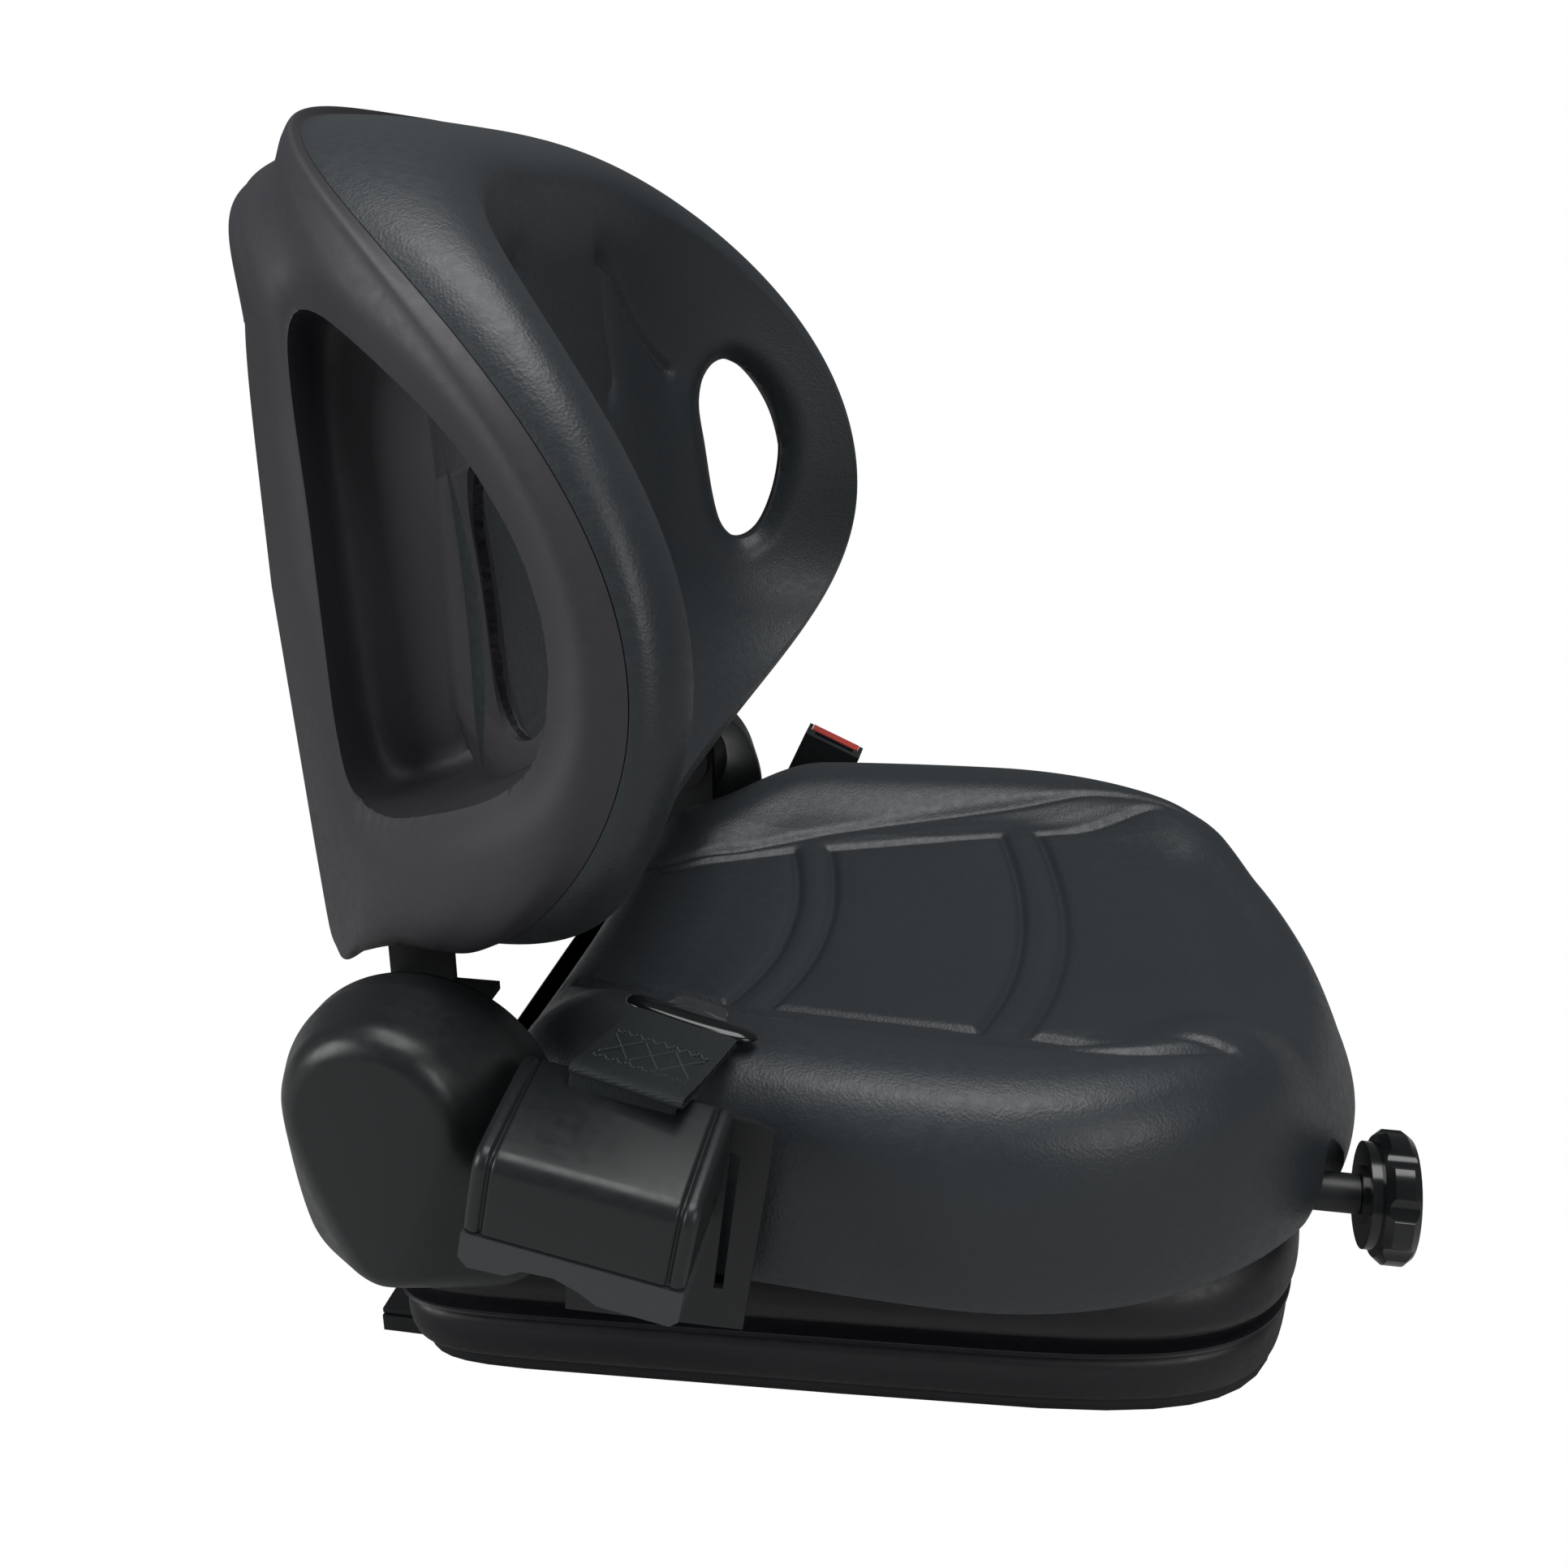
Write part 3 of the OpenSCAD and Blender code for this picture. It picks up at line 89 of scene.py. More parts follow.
def closed_curve(points, count):
    """smooth closed curve through points, spaced evenly along its length"""
    p = np.asarray(points, float)
    q = np.concatenate([p[-3:], p, p[:4]])
    fine = hermite(np.arange(len(q)), q, np.linspace(3, 3 + len(p), 40 * len(p) + 1))
    run = np.concatenate([[0], np.cumsum(np.linalg.norm(np.diff(fine, axis=0), axis=1))])
    at = np.linspace(0, run[-1], count, endpoint=False)
    return np.stack([np.interp(at, run, fine[:, k]) for k in range(p.shape[1])], axis=1)

def open_curve(points, count):
    """smooth curve through points from the first to the last"""
    p = np.asarray(points, float)
    return hermite(np.arange(len(p)), p, np.linspace(0, len(p) - 1, count))

def signed_distance(q, outline):
    """distance of each q to a closed outline, negative inside"""
    a, b = outline, np.roll(outline, -1, axis=0)
    best = np.full(len(q), 1e9)
    inside = np.zeros(len(q), bool)
    for s, e in zip(a, b):
        d = e - s
        t = np.clip(((q - s) @ d) / max(d @ d, 1e-9), 0, 1)
        best = np.minimum(best, np.hypot(*(q - s - t[:, None] * d).T))
        crosses = (s[1] > q[:, 1]) != (e[1] > q[:, 1])
        x = s[0] + (q[:, 1] - s[1]) * d[0] / (d[1] if d[1] else 1e-9)
        inside ^= crosses & (q[:, 0] < x)
    return np.where(inside, -best, best)

def distance_to_lines(q, lines):
    """distance of each q to the nearest of several open lines"""
    best = np.full(len(q), 1e9)
    for line in lines:
        for s, e in zip(line[:-1], line[1:]):
            d = e - s
            t = np.clip(((q - s) @ d) / max(d @ d, 1e-9), 0, 1)
            best = np.minimum(best, np.hypot(*(q - s - t[:, None] * d).T))
    return best

def make(name, points, faces, finish, sharp=None):
    """a mesh piece from points in millimetres, turned so that its faces look outward"""
    v = (np.asarray(points, float) + (SEAT_X, 0, SEAT_Z)) / 1000
    mesh = bpy.data.meshes.new(name)
    mesh.from_pydata(v.tolist(), [], [tuple(f) for f in faces])
    mesh.update()
    mesh.calc_loop_triangles()
    tri = np.empty(3 * len(mesh.loop_triangles), int)
    mesh.loop_triangles.foreach_get("vertices", tri)
    t = v[tri.reshape(-1, 3)]
    if np.einsum("ij,ij->", t[:, 0], np.cross(t[:, 1], t[:, 2])) < 0:
        mesh.flip_normals()
    mesh.shade_smooth()
    if sharp:
        mesh.set_sharp_from_angle(angle=math.radians(sharp))
    piece = bpy.data.objects.new(name, mesh)
    bpy.context.scene.collection.objects.link(piece)
    if finish:
        mesh.materials.append(finish)
    return piece

def ring_faces(rings, n, start=0):
    """quads between neighbouring closed rings of n points"""
    k, j = np.meshgrid(np.arange(rings - 1), np.arange(n), indexing="ij")
    a, b, c, d = k * n + j, (k + 1) * n + j, (k + 1) * n + (j + 1) % n, k * n + (j + 1) % n
    return (np.stack([a, b, c, d], axis=-1).reshape(-1, 4) + start).tolist()

def capped(name, rings, finish, pole_a=None, pole_b=None, sharp=None):
    """closed body from rings of points, with a pole or the middle of the end ring at each end"""
    rings = np.asarray(rings, float)
    m, n = rings.shape[:2]
    pole_a = rings[0].mean(axis=0) if pole_a is None else pole_a
    pole_b = rings[-1].mean(axis=0) if pole_b is None else pole_b
    points = np.concatenate([rings.reshape(-1, 3), [pole_a, pole_b]])
    j = np.arange(n)
    faces = ring_faces(m, n)
    faces += np.stack([np.full(n, m * n), j, (j + 1) % n], axis=1).tolist()
    faces += np.stack([np.full(n, m * n + 1), (m - 1) * n + (j + 1) % n, (m - 1) * n + j], axis=1).tolist()
    return make(name, points, faces, finish, sharp)

def loop_body(name, rings, finish, sharp=None):
    """closed body whose last ring joins its first"""
    rings = np.asarray(rings, float)
    m, n = rings.shape[:2]
    faces = ring_faces(m, n)
    j = np.arange(n)
    faces += np.stack([(m - 1) * n + j, j, (j + 1) % n, (m - 1) * n + (j + 1) % n], axis=1).tolist()
    return make(name, rings.reshape(-1, 3), faces, finish, sharp)

# Edges that turn by more than this stay sharp, in degrees
SHARP, SHARP_SOFT = 35, 50

def carve(piece, cutter, operation="DIFFERENCE", sharp=SHARP):
    """cuts the piece with the cutter, or keeps what both share, and removes the cutter"""
    cut = piece.modifiers.new("carve", "BOOLEAN")
    cut.operation, cut.solver, cut.object = operation, "EXACT", cutter
    bpy.context.view_layer.update()
    shape = bpy.data.meshes.new_from_object(piece.evaluated_get(bpy.context.evaluated_depsgraph_get()))
    piece.modifiers.clear()
    old, piece.data = piece.data, shape
    shape.name = piece.name
    bpy.data.meshes.remove(old)
    gone = cutter.data
    bpy.data.objects.remove(cutter)
    bpy.data.meshes.remove(gone)
    shape.shade_smooth()
    shape.set_sharp_from_angle(angle=math.radians(sharp))

def join(name, pieces):
    """several pieces as one mesh"""
    points, faces, slots, start = [], [], [], 0
    materials = []
    for p in pieces:
        v = np.empty(3 * len(p.data.vertices))
        p.data.vertices.foreach_get("co", v)
        points.append(v.reshape(-1, 3))
        material = p.data.materials[0]
        if material not in materials:
            materials.append(material)
        for f in p.data.polygons:
            faces.append([start + i for i in f.vertices])
            slots.append(materials.index(material))
        start += len(p.data.vertices)
    mesh = bpy.data.meshes.new(name)
    mesh.from_pydata(np.concatenate(points).tolist(), [], faces)
    mesh.update()
    for material in materials:
        mesh.materials.append(material)
    mesh.polygons.foreach_set("material_index", slots)
    mesh.shade_smooth()
    mesh.set_sharp_from_angle(angle=math.radians(SHARP))
    for p in pieces:
        gone = p.data
        bpy.data.objects.remove(p)
        bpy.data.meshes.remove(gone)
    piece = bpy.data.objects.new(name, mesh)
    bpy.context.scene.collection.objects.link(piece)
    return piece

def belongs(piece, body, node):
    """the piece rides on a body and stands for a frame node, which is hidden"""
    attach(piece, body)
    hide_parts(node)

# %% [markdown]
# Finishes. Each one is a Principled shader: the colour as seen on the product, the roughness of its
# real surface, and bumps whose size and height are given in real millimetres.

# %% Finishes
def linear(code):
    """sRGB hex to linear RGBA"""
    c = np.array([int(code[i:i + 2], 16) for i in (1, 3, 5)]) / 255
    return (*np.where(c <= 0.04045, c / 12.92, ((c + 0.055) / 1.055) ** 2.4), 1.0)

def add(material, kind, settings=None, values=None, links=None):
    """a shader node with its settings, constant socket values and links from other nodes"""
    node = material.node_tree.nodes.new(kind)
    for key, value in (settings or {}).items():
        setattr(node, key, value)
    for key, value in (values or {}).items():
        node.inputs[key].default_value = value
    for key, (source, socket) in (links or {}).items():
        material.node_tree.links.new(source.outputs[socket], node.inputs[key])
    return node

TINT_SCALE, MOTTLE_SCALE = 14.0, 220.0

def finish(name, colour, roughness, metallic=0.0, ior=1.5, coat=0.0, bumps=(), tint=None, mottle=0.0):
    """a Principled finish; bumps are (pattern, size in mm, height in mm, stretch)"""
    material = bpy.data.materials.new(name)
    material.use_nodes = True
    material.node_tree.nodes.clear()
    wires = material.node_tree.links
    out = add(material, "ShaderNodeOutputMaterial")
    body = add(material, "ShaderNodeBsdfPrincipled", values={
        "Base Color": linear(colour), "Roughness": roughness, "Metallic": metallic, "IOR": ior,
        "Coat Weight": coat, "Coat Roughness": 0.12})
    wires.new(body.outputs[0], out.inputs[0])
    where = {"Vector": (add(material, "ShaderNodeTexCoord"), "Object")}
    if tint:
        patches = add(material, "ShaderNodeTexNoise", values={"Scale": TINT_SCALE, "Detail": 3.0},
                      links=where)
        shades = add(material, "ShaderNodeMix", {"data_type": "RGBA"}, links={"Factor": (patches, 0)})
        shades.inputs[6].default_value, shades.inputs[7].default_value = linear(colour), linear(tint)
        wires.new(shades.outputs[2], body.inputs["Base Color"])
    if mottle:
        fine = add(material, "ShaderNodeTexNoise", values={"Scale": MOTTLE_SCALE, "Detail": 4.0}, links=where)
        spread = add(material, "ShaderNodeMapRange", links={"Value": (fine, 0)}, values={
            "From Min": 0.3, "From Max": 0.7, "To Min": roughness - mottle, "To Max": roughness + mottle})
        wires.new(spread.outputs[0], body.inputs["Roughness"])
    last = None
    for pattern, size, height, stretch in bumps:
        vector = add(material, "ShaderNodeMapping", values={"Scale": stretch}, links=where)
        kind = {"cells": "ShaderNodeTexVoronoi", "noise": "ShaderNodeTexNoise"}[pattern]
        texture = add(material, kind, values={"Scale": 1000 / size}, links={"Vector": (vector, 0)})
        bump = add(material, "ShaderNodeBump", values={"Distance": height / 1000, "Strength": 1.0},
                   links={"Height": (texture, 0)})
        if last:
            wires.new(last.outputs[0], bump.inputs["Normal"])
        last = bump
    if last:
        wires.new(last.outputs[0], body.inputs["Normal"])
    return material

ROUND, BRUSHED = (1.0, 1.0, 1.0), (1.0, 8.0, 8.0)
# Polyurethane-coated vinyl with a fine leather grain
vinyl = finish("grained_vinyl", "#2b3033", 0.42, tint="#303538", mottle=0.06,
               bumps=[("cells", 1.3, 0.10, ROUND), ("noise", 3.5, 0.12, ROUND)])
# ABS with a spark-eroded texture
shell_plastic = finish("textured_abs", "#323136", 0.52, tint="#37363b", mottle=0.05,
                       bumps=[("noise", 0.7, 0.05, ROUND)])
# Moulded polypropylene, satin
satin_plastic = finish("satin_polypropylene", "#1d2122", 0.36, mottle=0.05,
                       bumps=[("noise", 0.9, 0.02, ROUND)])
grey_plastic = finish("grey_polypropylene", "#3d4143", 0.48, mottle=0.05,
                      bumps=[("noise", 0.9, 0.03, ROUND)])
gloss_plastic = finish("gloss_nylon", "#101213", 0.16, coat=0.3)
rubber = finish("moulded_rubber", "#17181b", 0.44, tint="#1b1c20", mottle=0.06,
                bumps=[("noise", 1.4, 0.03, ROUND)])
black_paint = finish("black_powder_coat", "#191b1d", 0.40, bumps=[("noise", 1.2, 0.02, ROUND)])
zinc = finish("zinc_plated_steel", "#b7babd", 0.34, metallic=1.0, bumps=[("noise", 0.6, 0.004, BRUSHED)])
chrome = finish("chromed_steel", "#c9cbcc", 0.14, metallic=1.0)
acetal = finish("natural_acetal", "#d6d2c4", 0.35)
button_red = finish("red_polycarbonate", "#cf4338", 0.28, coat=0.25)
thread = finish("polyester_thread", "#41484a", 0.6)

def webbing_finish():
    """polyester webbing: ribs along the strap and fine picks across it, in its own UV"""
    material = finish("polyester_webbing", "#1f2629", 0.62)
    tree = material.node_tree
    uv = {"Vector": (add(material, "ShaderNodeUVMap", {"uv_map": "UVMap"}), 0)}
    across = add(material, "ShaderNodeTexWave", {"bands_direction": "X"},
                 {"Scale": 300.0, "Distortion": 0.6, "Detail Scale": 2.0}, uv)
    along = add(material, "ShaderNodeTexWave", {"bands_direction": "Y"},
                {"Scale": 520.0, "Distortion": 0.8}, uv)
    low = add(material, "ShaderNodeBump", values={"Distance": 0.00022, "Strength": 1.0},
              links={"Height": (across, 0)})
    top = add(material, "ShaderNodeBump", values={"Distance": 0.00014, "Strength": 1.0},
              links={"Height": (along, 0), "Normal": (low, 0)})
    tree.links.new(top.outputs[0], tree.nodes["Principled BSDF"].inputs["Normal"])
    return material

webbing = webbing_finish()

# %% [markdown]
# Backrest. The seam is an egg that is widest near the hand holes. The front face is flat in the
# middle and sweeps forward into the wings: X = middle + (crest - middle) times rho to the power
# SWEEP, with rho the share of the way from the eye, the middle of the face, to the crest.

# %% Backrest outlines
EYE, WIDEST_Z, WING_X = 365.0, 362.0, -64.5
# The seam's reach from the eye: to the side, up and down, and how much it narrows upwards
HALF, RISE, DROP, NARROWING = 252.0, 197.0, 150.0, 0.09
# Powers of the seam above and below the eye, of the face and of the wing's rounded edge
UP_POWER, DOWN_POWER, SWEEP, ROLL_POWER = 3.4, 3.0, 6.5, 2.3
# The crest lies this far inside the seam, and each ring has this many points
CREST_IN, N_BACK = 28.0, 420

def seam(a, inset):
    """superellipse about the eye, squarer above than below, that narrows upwards"""
    up = np.sin(a) >= 0
    p = np.where(up, UP_POWER, DOWN_POWER)
    z = EYE + (np.where(up, RISE, DROP) - inset) * power(np.sin(a), 2 / p)
    return (HALF - inset - NARROWING * (z - EYE)) * power(np.cos(a), 2 / p), z

def arch(z, up, down):
    """k (z - widest z) squared, with k one value above the widest place and another below"""
    return np.where(z > WIDEST_Z, up, down) * (z - WIDEST_Z) ** 2

def seam_x(z):
    """X of the seam: an arch behind the wing's furthest point"""
    return WING_X - arch(z, 0.0043, 0.0052)

def crest_x(z):
    """X of the crest: a flatter arch, 16 mm ahead of the seam"""
    return WING_X + 16 - arch(z, 0.0039, 0.0043)

def middle_x(z):
    """X of the face's middle: it leans back by 0.06 and curls back towards the head"""
    return -152 - 0.06 * (z - 300) - 35 * np.maximum(0, (z - 500) / 60) ** 2

def even_angles(count):
    """angles whose points lie evenly along the line midway between seam and crest"""
    a = np.linspace(-math.pi / 2, 3 * math.pi / 2, 8001)
    y, z = seam(a, CREST_IN / 2)
    x = seam_x(z)
    run = np.concatenate([[0], np.cumsum(np.sqrt(np.diff(x)**2 + np.diff(y)**2 + np.diff(z)**2))])
    return np.interp(np.linspace(0, run[-1], count, endpoint=False), run, a)

ANGLE = even_angles(N_BACK)

def face_ring(r, back=0.0):
    """ring of the front face at the share r, moved back"""
    y, z = seam(ANGLE, CREST_IN)
    yr, zr = y * r, EYE + (z - EYE) * r
    return np.stack([middle_x(zr) + (crest_x(z) - middle_x(z)) * r**SWEEP - back, yr, zr], axis=1)

def roll(phi):
    """ring of the wing's rounded edge, from the crest at 0 to the seam at a quarter turn"""
    out, back = np.sin(phi) ** (2 / ROLL_POWER), 1 - np.cos(phi) ** (2 / ROLL_POWER)
    y, z = seam(ANGLE, CREST_IN * (1 - out))
    crest_z, seam_z = seam(ANGLE, CREST_IN)[1], seam(ANGLE, 0)[1]
    return np.stack([mix(crest_x(crest_z), seam_x(seam_z), back), y, z], axis=1)

def groove(gap, profile):
    """sum of depth times exp(-(gap / width)^2) over the profile's pairs of depth and width"""
    return sum(depth * np.exp(-(gap / width) ** 2) for depth, width in profile)

# %% [markdown]
# Hand holes. Each is a closed outline in a plane square to the wing. The padding rolls into the
# hole: points near the outline sink along the hole's axis by a rounded lip.

# %% Hand hole outline and lip
HOLE_AT, HOLE_TURN = np.array([-110.0, 190.0, 385.0]), math.radians(-54)
AXIS = np.array([math.cos(HOLE_TURN), math.sin(HOLE_TURN), 0])
ACROSS = np.array([-math.sin(HOLE_TURN), math.cos(HOLE_TURN), 0])
UP = np.array([0, 0, 1])
HOLE = closed_curve([(-28, 30), (-25, 6), (-20, -24), (-13, -44), (-1, -53), (12, -47), (21, -28),
                     (25.5, -2), (23, 20), (14, 38), (2, 50), (-12, 55), (-23, 47)], 96)
# The outline's mean reach from its middle, and how far the cutter runs each way along the axis
HOLE_RADIUS, CUT_REACH = 26.0, 60.0

def flip_side(p, side):
    """points as they are on the left, mirrored on the right"""
    return p * (1, side, 1)

def hole_place(p, side):
    """the two coordinates of each point in the hole's plane"""
    d = flip_side(p, side) - HOLE_AT
    return np.stack([d @ ACROSS, d[:, 2]], axis=1)

def roll_into_hole(p, reach, depth):
    """sinks points near each hand hole along its axis, by depth (1 - distance / reach)^2.4"""
    p = p.copy()
    for side in (1, -1):
        near = (p[:, 1] * side > 120) & (p[:, 2] > 290) & (p[:, 2] < 470)
        q = p[near]
        d = signed_distance(hole_place(q, side), HOLE)
        sink = depth * np.clip(1 - np.maximum(d, 0) / reach, 0, 1) ** 2.4
        p[near] = q - flip_side(AXIS, side) * sink[:, None]
    return p

def hole_cutter(side):
    """tube along the hole's axis, a little wider at its ends"""
    rings = []
    for along, wider in ((CUT_REACH, 1.5), (0, 0.2), (-CUT_REACH / 2, 0), (-CUT_REACH, 0.5)):
        o = HOLE * (1 + wider / HOLE_RADIUS)
        rings.append(flip_side(HOLE_AT + along * AXIS + o[:, :1] * ACROSS + o[:, 1:] * UP, side))
    return capped("cutter", rings, None)

# %% Backrest padding
# Emboss line of the padding: down the middle panel's edge, round its corner and out to the hole
EMBOSS = [open_curve([(62, 500), (72, 486), (80, 460), (84, 440), (80, 431), (70, 428)], 30),
          open_curve([(62, 500), (80, 496), (104, 478), (132, 455), (156, 436)], 30)]
EMBOSS_PROFILE = ((4.2, 3.4), (2.4, 12.0))
# Thickness of the padding behind its face and behind its crest
PAD_BACK, RIM_BACK = 20.0, 28.0
LIP_RINGS, LIP_REACH, LIP_DEPTH = 12, 15.0, 9.0

def build_pad():
    """padding from the eye over the wing's rounded edge to its flat rear face, with both holes cut"""
    shares = np.concatenate([np.linspace(0.03, 0.24, 8), np.linspace(0.25, 1, 110)])
    rings = [face_ring(r) for r in shares]
    rings += [roll(t) for t in np.linspace(0, math.pi / 2, 22)[1:]]
    y, z = seam(ANGLE, 4)
    rings += [np.stack([seam_x(seam(ANGLE, 0)[1]) - 3, y, z], axis=1)]
    rings += [face_ring(r, b) for r, b in ((1, RIM_BACK), (0.97, 26), (0.94, 22))]
    rings += [face_ring(r, PAD_BACK) for r in (0.9, 0.82, 0.7, 0.4, 0.1)]
    rings = np.array(rings)
    front = len(shares)
    face = rings[:front].reshape(-1, 3).copy()
    gap = distance_to_lines(np.stack([np.abs(face[:, 1]), face[:, 2]], axis=1), EMBOSS)
    face[:, 0] -= groove(gap, EMBOSS_PROFILE)
    rings[:front] = face.reshape(rings[:front].shape)
    around = rings[:front + LIP_RINGS]
    lipped = roll_into_hole(around.reshape(-1, 3), LIP_REACH, LIP_DEPTH)
    rings[:front + LIP_RINGS] = lipped.reshape(around.shape)
    ends = [middle_x(EYE), 0, EYE], [middle_x(EYE) - PAD_BACK, 0, EYE]
    pad = capped("backrest_padding", rings, vinyl, *ends)
    for side in (1, -1):
        carve(pad, hole_cutter(side), sharp=SHARP_SOFT)
    return pad

pad = build_pad()
belongs(pad, "backrest", "backrest_pad")

# %% [markdown]
# Back shell. Rings run from the seam, over a rolled rim, to the flat box behind, with the header
# bulging back at the top. A pocket is carved into each side; the rim rolls into it.

# %% Back shell
BOX_X, BOX_W, FOOT, HEAD, HEADER = -242.0, 165.0, 203.0, 521.0, 16.0
# Gap from the padding's rear face to the shell, and to the side pockets' inner end
SHELL_GAP, POCKET_GAP, FAR_BEHIND = 1.5, 5.5, -420.0
# Rings from seam to box: share in at the sides and at the top, share back, swell and rounding in mm
SHELL_KEYS = [(0, 0, 0, 0, 0), (0.02, 0.02, 0.1, 4, 0), (0.12, 0.1, 0.28, 4, 0), (0.3, 0.3, 0.5, 0, 0),
              (0.6, 0.5, 0.75, 0, 0), (0.92, 0.8, 0.93, 0, 0), (1, 1, 1, 0, 5)]

def box_back(z):
    """X of the box's rear wall, which comes forward by 9 mm towards its foot"""
    return BOX_X + 9 * np.clip((EYE - z) / DROP, 0, 1)

def shell_ring(side_in, top_in, back, swell, round_in):
    """ring a share of the way from the seam in to the box, and a share of the way back"""
    up = np.clip(np.sin(ANGLE), 0, 1) ** 2
    share = mix(side_in, top_in, up)
    seam_y, seam_z = seam(ANGLE, -swell * (1 - share))
    e = np.where(np.sin(ANGLE) < 0, 0.07, 0.3)
    box_y = (BOX_W - round_in) * power(np.cos(ANGLE), e)
    box_z = (FOOT + HEAD) / 2 + ((HEAD - FOOT) / 2 - round_in) * power(np.sin(ANGLE), e)
    rim_x = seam_x(seam(ANGLE, 0)[1]) - 0.5
    bulge = np.where(share > 0.9, 0.3, np.where(share > 0.3, 1, share))
    deep = box_back(box_z) - HEADER * up * bulge
    return np.stack([mix(rim_x, deep, back), mix(seam_y, box_y, share), mix(seam_z, box_z, share)], axis=1)

def behind_pad(gap):
    """rings that follow the padding's rear face at a gap, and the point where they start"""
    rings = [face_ring(r, PAD_BACK + gap) for r in (0.4, 0.7, 0.9)] + [face_ring(1, RIM_BACK + gap)]
    return rings, [middle_x(EYE) - PAD_BACK - gap, 0, EYE]

def shell_body():
    """shell behind the padding, over its rim and round to the box's rear wall"""
    front, start = behind_pad(SHELL_GAP)
    side = hermite([key[2] for key in SHELL_KEYS], [shell_ring(*key) for key in SHELL_KEYS],
                   np.linspace(0, 1, 170))
    rings = side_pocket_lip(np.concatenate([front, side]))
    return capped("back_shell_moulding", rings, shell_plastic, start, [float(box_back(EYE)), 0, EYE])

MOUTH = closed_curve([(-207, 484), (-192, 488), (-160, 471), (-132, 450), (-114, 428), (-102, 405),
                      (-95.5, 377), (-98, 352), (-106, 333), (-125, 318), (-155, 304), (-181, 295),
                      (-199, 299), (-206, 322), (-209, 360), (-211, 410), (-212, 455)], 120)

def side_pocket_lip(rings):
    """points near the pocket's mouth sink inwards by a rounded lip, 6 (1 - distance / 18)^2"""
    p = rings.reshape(-1, 3).copy()
    near = (np.abs(p[:, 1]) > 150) & (p[:, 2] > 270)
    q = p[near]
    d = signed_distance(q[:, [0, 2]], MOUTH)
    sink = 6 * np.clip(1 - np.maximum(d, 0) / 18, 0, 1) ** 2
    q[:, 1] -= np.sign(q[:, 1]) * sink
    p[near] = q
    return p.reshape(rings.shape)

def pocket_cutter(side):
    """prism along Y with a rounded floor, from pairs of height over the box's wall and inset"""
    centre = MOUTH.mean(axis=0)
    away = MOUTH - centre
    rings = []
    for out, inset in ((-4, 16), (-3.3, 9), (-1, 4.5), (4, 2), (14, 1), (50, 0), (120, 0)):
        o = centre + away * (1 - inset / np.linalg.norm(away, axis=1, keepdims=True))
        rings.append(np.stack([o[:, 0], np.full(len(o), side * (BOX_W + out)), o[:, 1]], axis=1))
    return capped("cutter", rings, None)

def behind_wings():
    """everything further back than the side pockets' inner end"""
    rings, start = behind_pad(POCKET_GAP)
    wide = face_ring(1.5)
    for x in (WING_X - PAD_BACK - POCKET_GAP, FAR_BEHIND):
        rings.append(np.stack([np.full(N_BACK, x), wide[:, 1], wide[:, 2]], axis=1))
    return capped("behind", rings, None, start, [FAR_BEHIND, 0, EYE])

def build_shell():
    """shell with a side pocket and a hand hole cut into each side"""
    shell = shell_body()
    for side in (1, -1):
        cutter = pocket_cutter(side)
        carve(cutter, behind_wings(), "INTERSECT")
        carve(shell, cutter, sharp=SHARP_SOFT)
        carve(shell, hole_cutter(side), sharp=SHARP_SOFT)
    return shell

shell = build_shell()
belongs(shell, "backrest", "back_shell")

# %% [markdown]
# Cushion. Rings run from the middle of the seating face over the bolsters and down to the foot;
# the height of the face is a sum of a slope, a dish, a nose, a tail and the bolsters.

# %% Cushion
NOSE, SIDE, FRONT, TAIL, TAIL_W, LOW = 243.0, 220.0, 50.0, -180.0, 186.0, 95.6
N_SEAT, TAIL_POWER, NOSE_POWER = 480, 0.28, 0.96
CREASE_PROFILE = ((2.6, 2.8), (1.3, 10.0))

def edge(a, dy, dx):
    """outline: an ellipse in front and a squarer, narrower tail, drawn in by dy and dx"""
    c, s = np.cos(a), np.sin(a)
    fx = FRONT + (NOSE - FRONT - dx) * np.abs(c) ** NOSE_POWER
    fy = (SIDE - dy) * power(s, NOSE_POWER)
    rx = FRONT + (FRONT - TAIL - dx) * power(c, TAIL_POWER + 0.9 * np.abs(s) ** 3)
    ry = (mix(TAIL_W, SIDE, ease(-125, -60, rx)) - dy) * power(s, TAIL_POWER)
    return np.where(c >= 0, fx, rx), np.where(c >= 0, fy, ry)

def face_height(x, y):
    """height of the seating face before its creases"""
    rise = 173.5 + 0.055 * x
    dish = -8 * (1 - np.clip(np.abs(y) / 115, 0, 1) ** 2)
    nose = -30 * np.clip((x - 142) / 80, 0, 1.2) ** 2
    tail = -7 * np.clip((-135 - x) / 45, 0, 1) ** 2
    crest = (SIDE - 42) * np.sqrt(np.maximum(0.05, 1 - (np.maximum(0, x - FRONT) / 165) ** 2))
    bolster = (193 - rise + 0.5) * ease(np.minimum(112 + 0.22 * x, 0.86 * crest), crest, np.abs(y))
    return rise + dish + nose + tail + bolster * (1 - ease(170, 235, x)) * (1 - ease(-140, -172, x))

